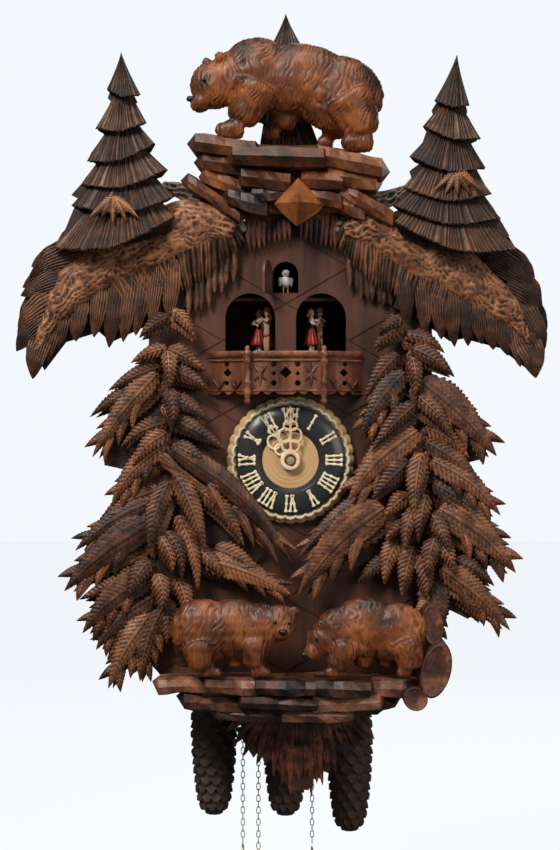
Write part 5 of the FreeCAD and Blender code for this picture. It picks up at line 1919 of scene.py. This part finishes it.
def bears() -> list[Bear]:
    """The crest bear and the two on the ledge."""
    crest = Bear("bear_crest", "crest_bear", [
        ((50, -178, 160), (42, 26, 50), 80), ((5, -178, 176), (62, 27, 39), 0),
        ((-36, -178, 184), (40, 27, 37), 10),
        ((-62, -180, 176), (28, 21, 30), 0), ((-80, -182, 169), (26, 19, 27), 60),
        ((-93, -184, 151), (14, 12, 11), 35),
        ((-74, -196, 197), (6, 4, 7), 60), ((-88, -168, 195), (6, 4, 7), 60)],
        [([(-34, -190, 172), (-44, -191, 148), (-55, -192, 126)], [28, 21, 16]),
        ([(-48, -193, 123), (-62, -194, 121), (-80, -195, 119)], [12, 11, 7]),
         ([(-6, -167, 162), (-8, -165, 142), (-13, -164, 124)], [24, 19, 15]),
         ([(-10, -165, 122), (-20, -165, 121.5), (-30, -166, 121)], [9, 9, 6]),
         ([(56, -189, 158), (70, -191, 134), (77, -192, 112)], [33, 24, 17]),
         ([(88, -193, 107), (72, -193, 108), (52, -194, 106)], [11, 12, 8]),
         ([(40, -168, 146), (46, -166, 128), (44, -165, 114)], [20, 15, 12]),
         ([(46, -165, 111), (38, -165, 111), (28, -165, 110.5)], [8, 8, 6])],
        [(-91, -199.5, 172)], (-105, -186, 154), 401, (0.3, 0.0, 1.0))
    left = Bear("bear_ledge_left", "bear_left", [
        ((-90, -227, -402), (34, 19, 36), 60), ((-60, -227, -399), (40, 19, 31), 0),
        ((-32, -228, -399), (22, 18, 27), 0),
        ((-12, -231, -393), (20, 16, 20), 0), ((-8, -242, -402), (11, 7, 8), 0),
        ((-26, -237, -377), (5, 3.5, 6), 90),
        ((4, -234, -380), (5, 3.5, 6), 90)],
        [([(-38, -233, -408), (-38, -235, -428), (-40, -236, -440)], [17, 13, 11]),
        ([(-42, -236, -442.5), (-30, -238, -443), (-20, -239, -443.5)], [6.5, 6.5, 5]),
         ([(-56, -218, -408), (-56, -217, -428), (-56, -217, -441)], [14, 11, 10]),
         ([(-96, -234, -410), (-92, -236, -430), (-88, -236, -441)], [22, 16, 12]),
         ([(-92, -237, -443), (-80, -238, -443), (-70, -239, -443.5)], [6, 6, 5]),
         ([(-106, -218, -410), (-108, -217, -430), (-108, -217, -441)], [16, 12, 10])],
        [(-16, -246.0, -391), (-1, -245, -392)], (-8, -247.8, -401), 402, (0.2, 0.0, 1.0))
    right = Bear("bear_ledge_right", "bear_right", [
        ((106, -227, -402), (30, 19, 36), 100), ((76, -227, -398), (38, 19, 32), 0),
        ((50, -229, -400), (24, 18, 24), -30),
        ((34, -231, -410), (19, 16, 17), -40), ((23, -236, -422), (10, 9, 9), -40),
        ((32, -243, -393), (5, 3.5, 6), 90),
        ((46, -242, -390), (5, 3.5, 6), 90)],
        [([(58, -236, -410), (52, -237, -428), (46, -237, -440)], [17, 14, 12]),
        ([(50, -237, -443), (42, -238, -443), (34, -239, -443.5)], [6.5, 6.5, 5]),
         ([(78, -219, -410), (76, -218, -428), (74, -217, -441)], [15, 12, 10]),
         ([(114, -235, -408), (122, -236, -428), (124, -236, -441)], [22, 16, 13]),
         ([(126, -237, -443), (116, -238, -443), (108, -239, -443.5)], [6, 6, 5]),
         ([(98, -218, -412), (100, -217, -430), (98, -217, -441)], [15, 12, 10])],
        [(26, -246.5, -408)], (14.5, -239, -425), 403, (-0.2, 0.0, 1.0))
    return [crest, left, right]


def chains() -> list[LinkChain]:
    """Both runs of the three chains."""
    made: list[LinkChain] = []
    for side, x, foot in (("left", -83.0, -435.0), ("middle", -5.0, -436.0), ("right", 65.0, -453.0)):
        made.append(LinkChain("links_" + side, "weight_chain_" + side, side + "_weight", x, -142.0, foot))
    for side, x, foot in (("left", -51.5, -648.0), ("middle", -34.6, -654.0), ("right", 24.0, -651.0)):
        made.append(LinkChain("pull_links_" + side, "pull_chain_" + side, side + "_pull", x, -262.0, foot,
            ring=True))
    return made


def main() -> None:
    """Builds the studio and every part of the clock in order, each piece logging its face count."""
    logging.basicConfig(level=logging.INFO, format="%(message)s")
    Studio().build()
    dress_frame()
    weights = [ConeWeight("left", -83.0, -615.0), ConeWeight("middle", -5.0, -616.0),
        ConeWeight("right", 65.0, -633.0)]
    hands = [Hand("hour_hand_pierced", "hour_hand", "hour_pipe", 43.0, -30.0, -185.6, CREAM, (15.0, 25.0)),
             Hand("minute_hand_pierced", "minute_hand", "minute_arbor", 57.0, 0.0, -189.1, PINK_CREAM,
             (15.0, 26.0, 36.0))]
    parts = [*firs(), *eaves(), *spruces(), *bears(), Crest(), Foot(), Dial(), *hands, Balcony(), Dancers(),
        Cuckoo(), *weights, *chains()]
    for part in parts:
        part.build()


if __name__ == "__main__":
    main()
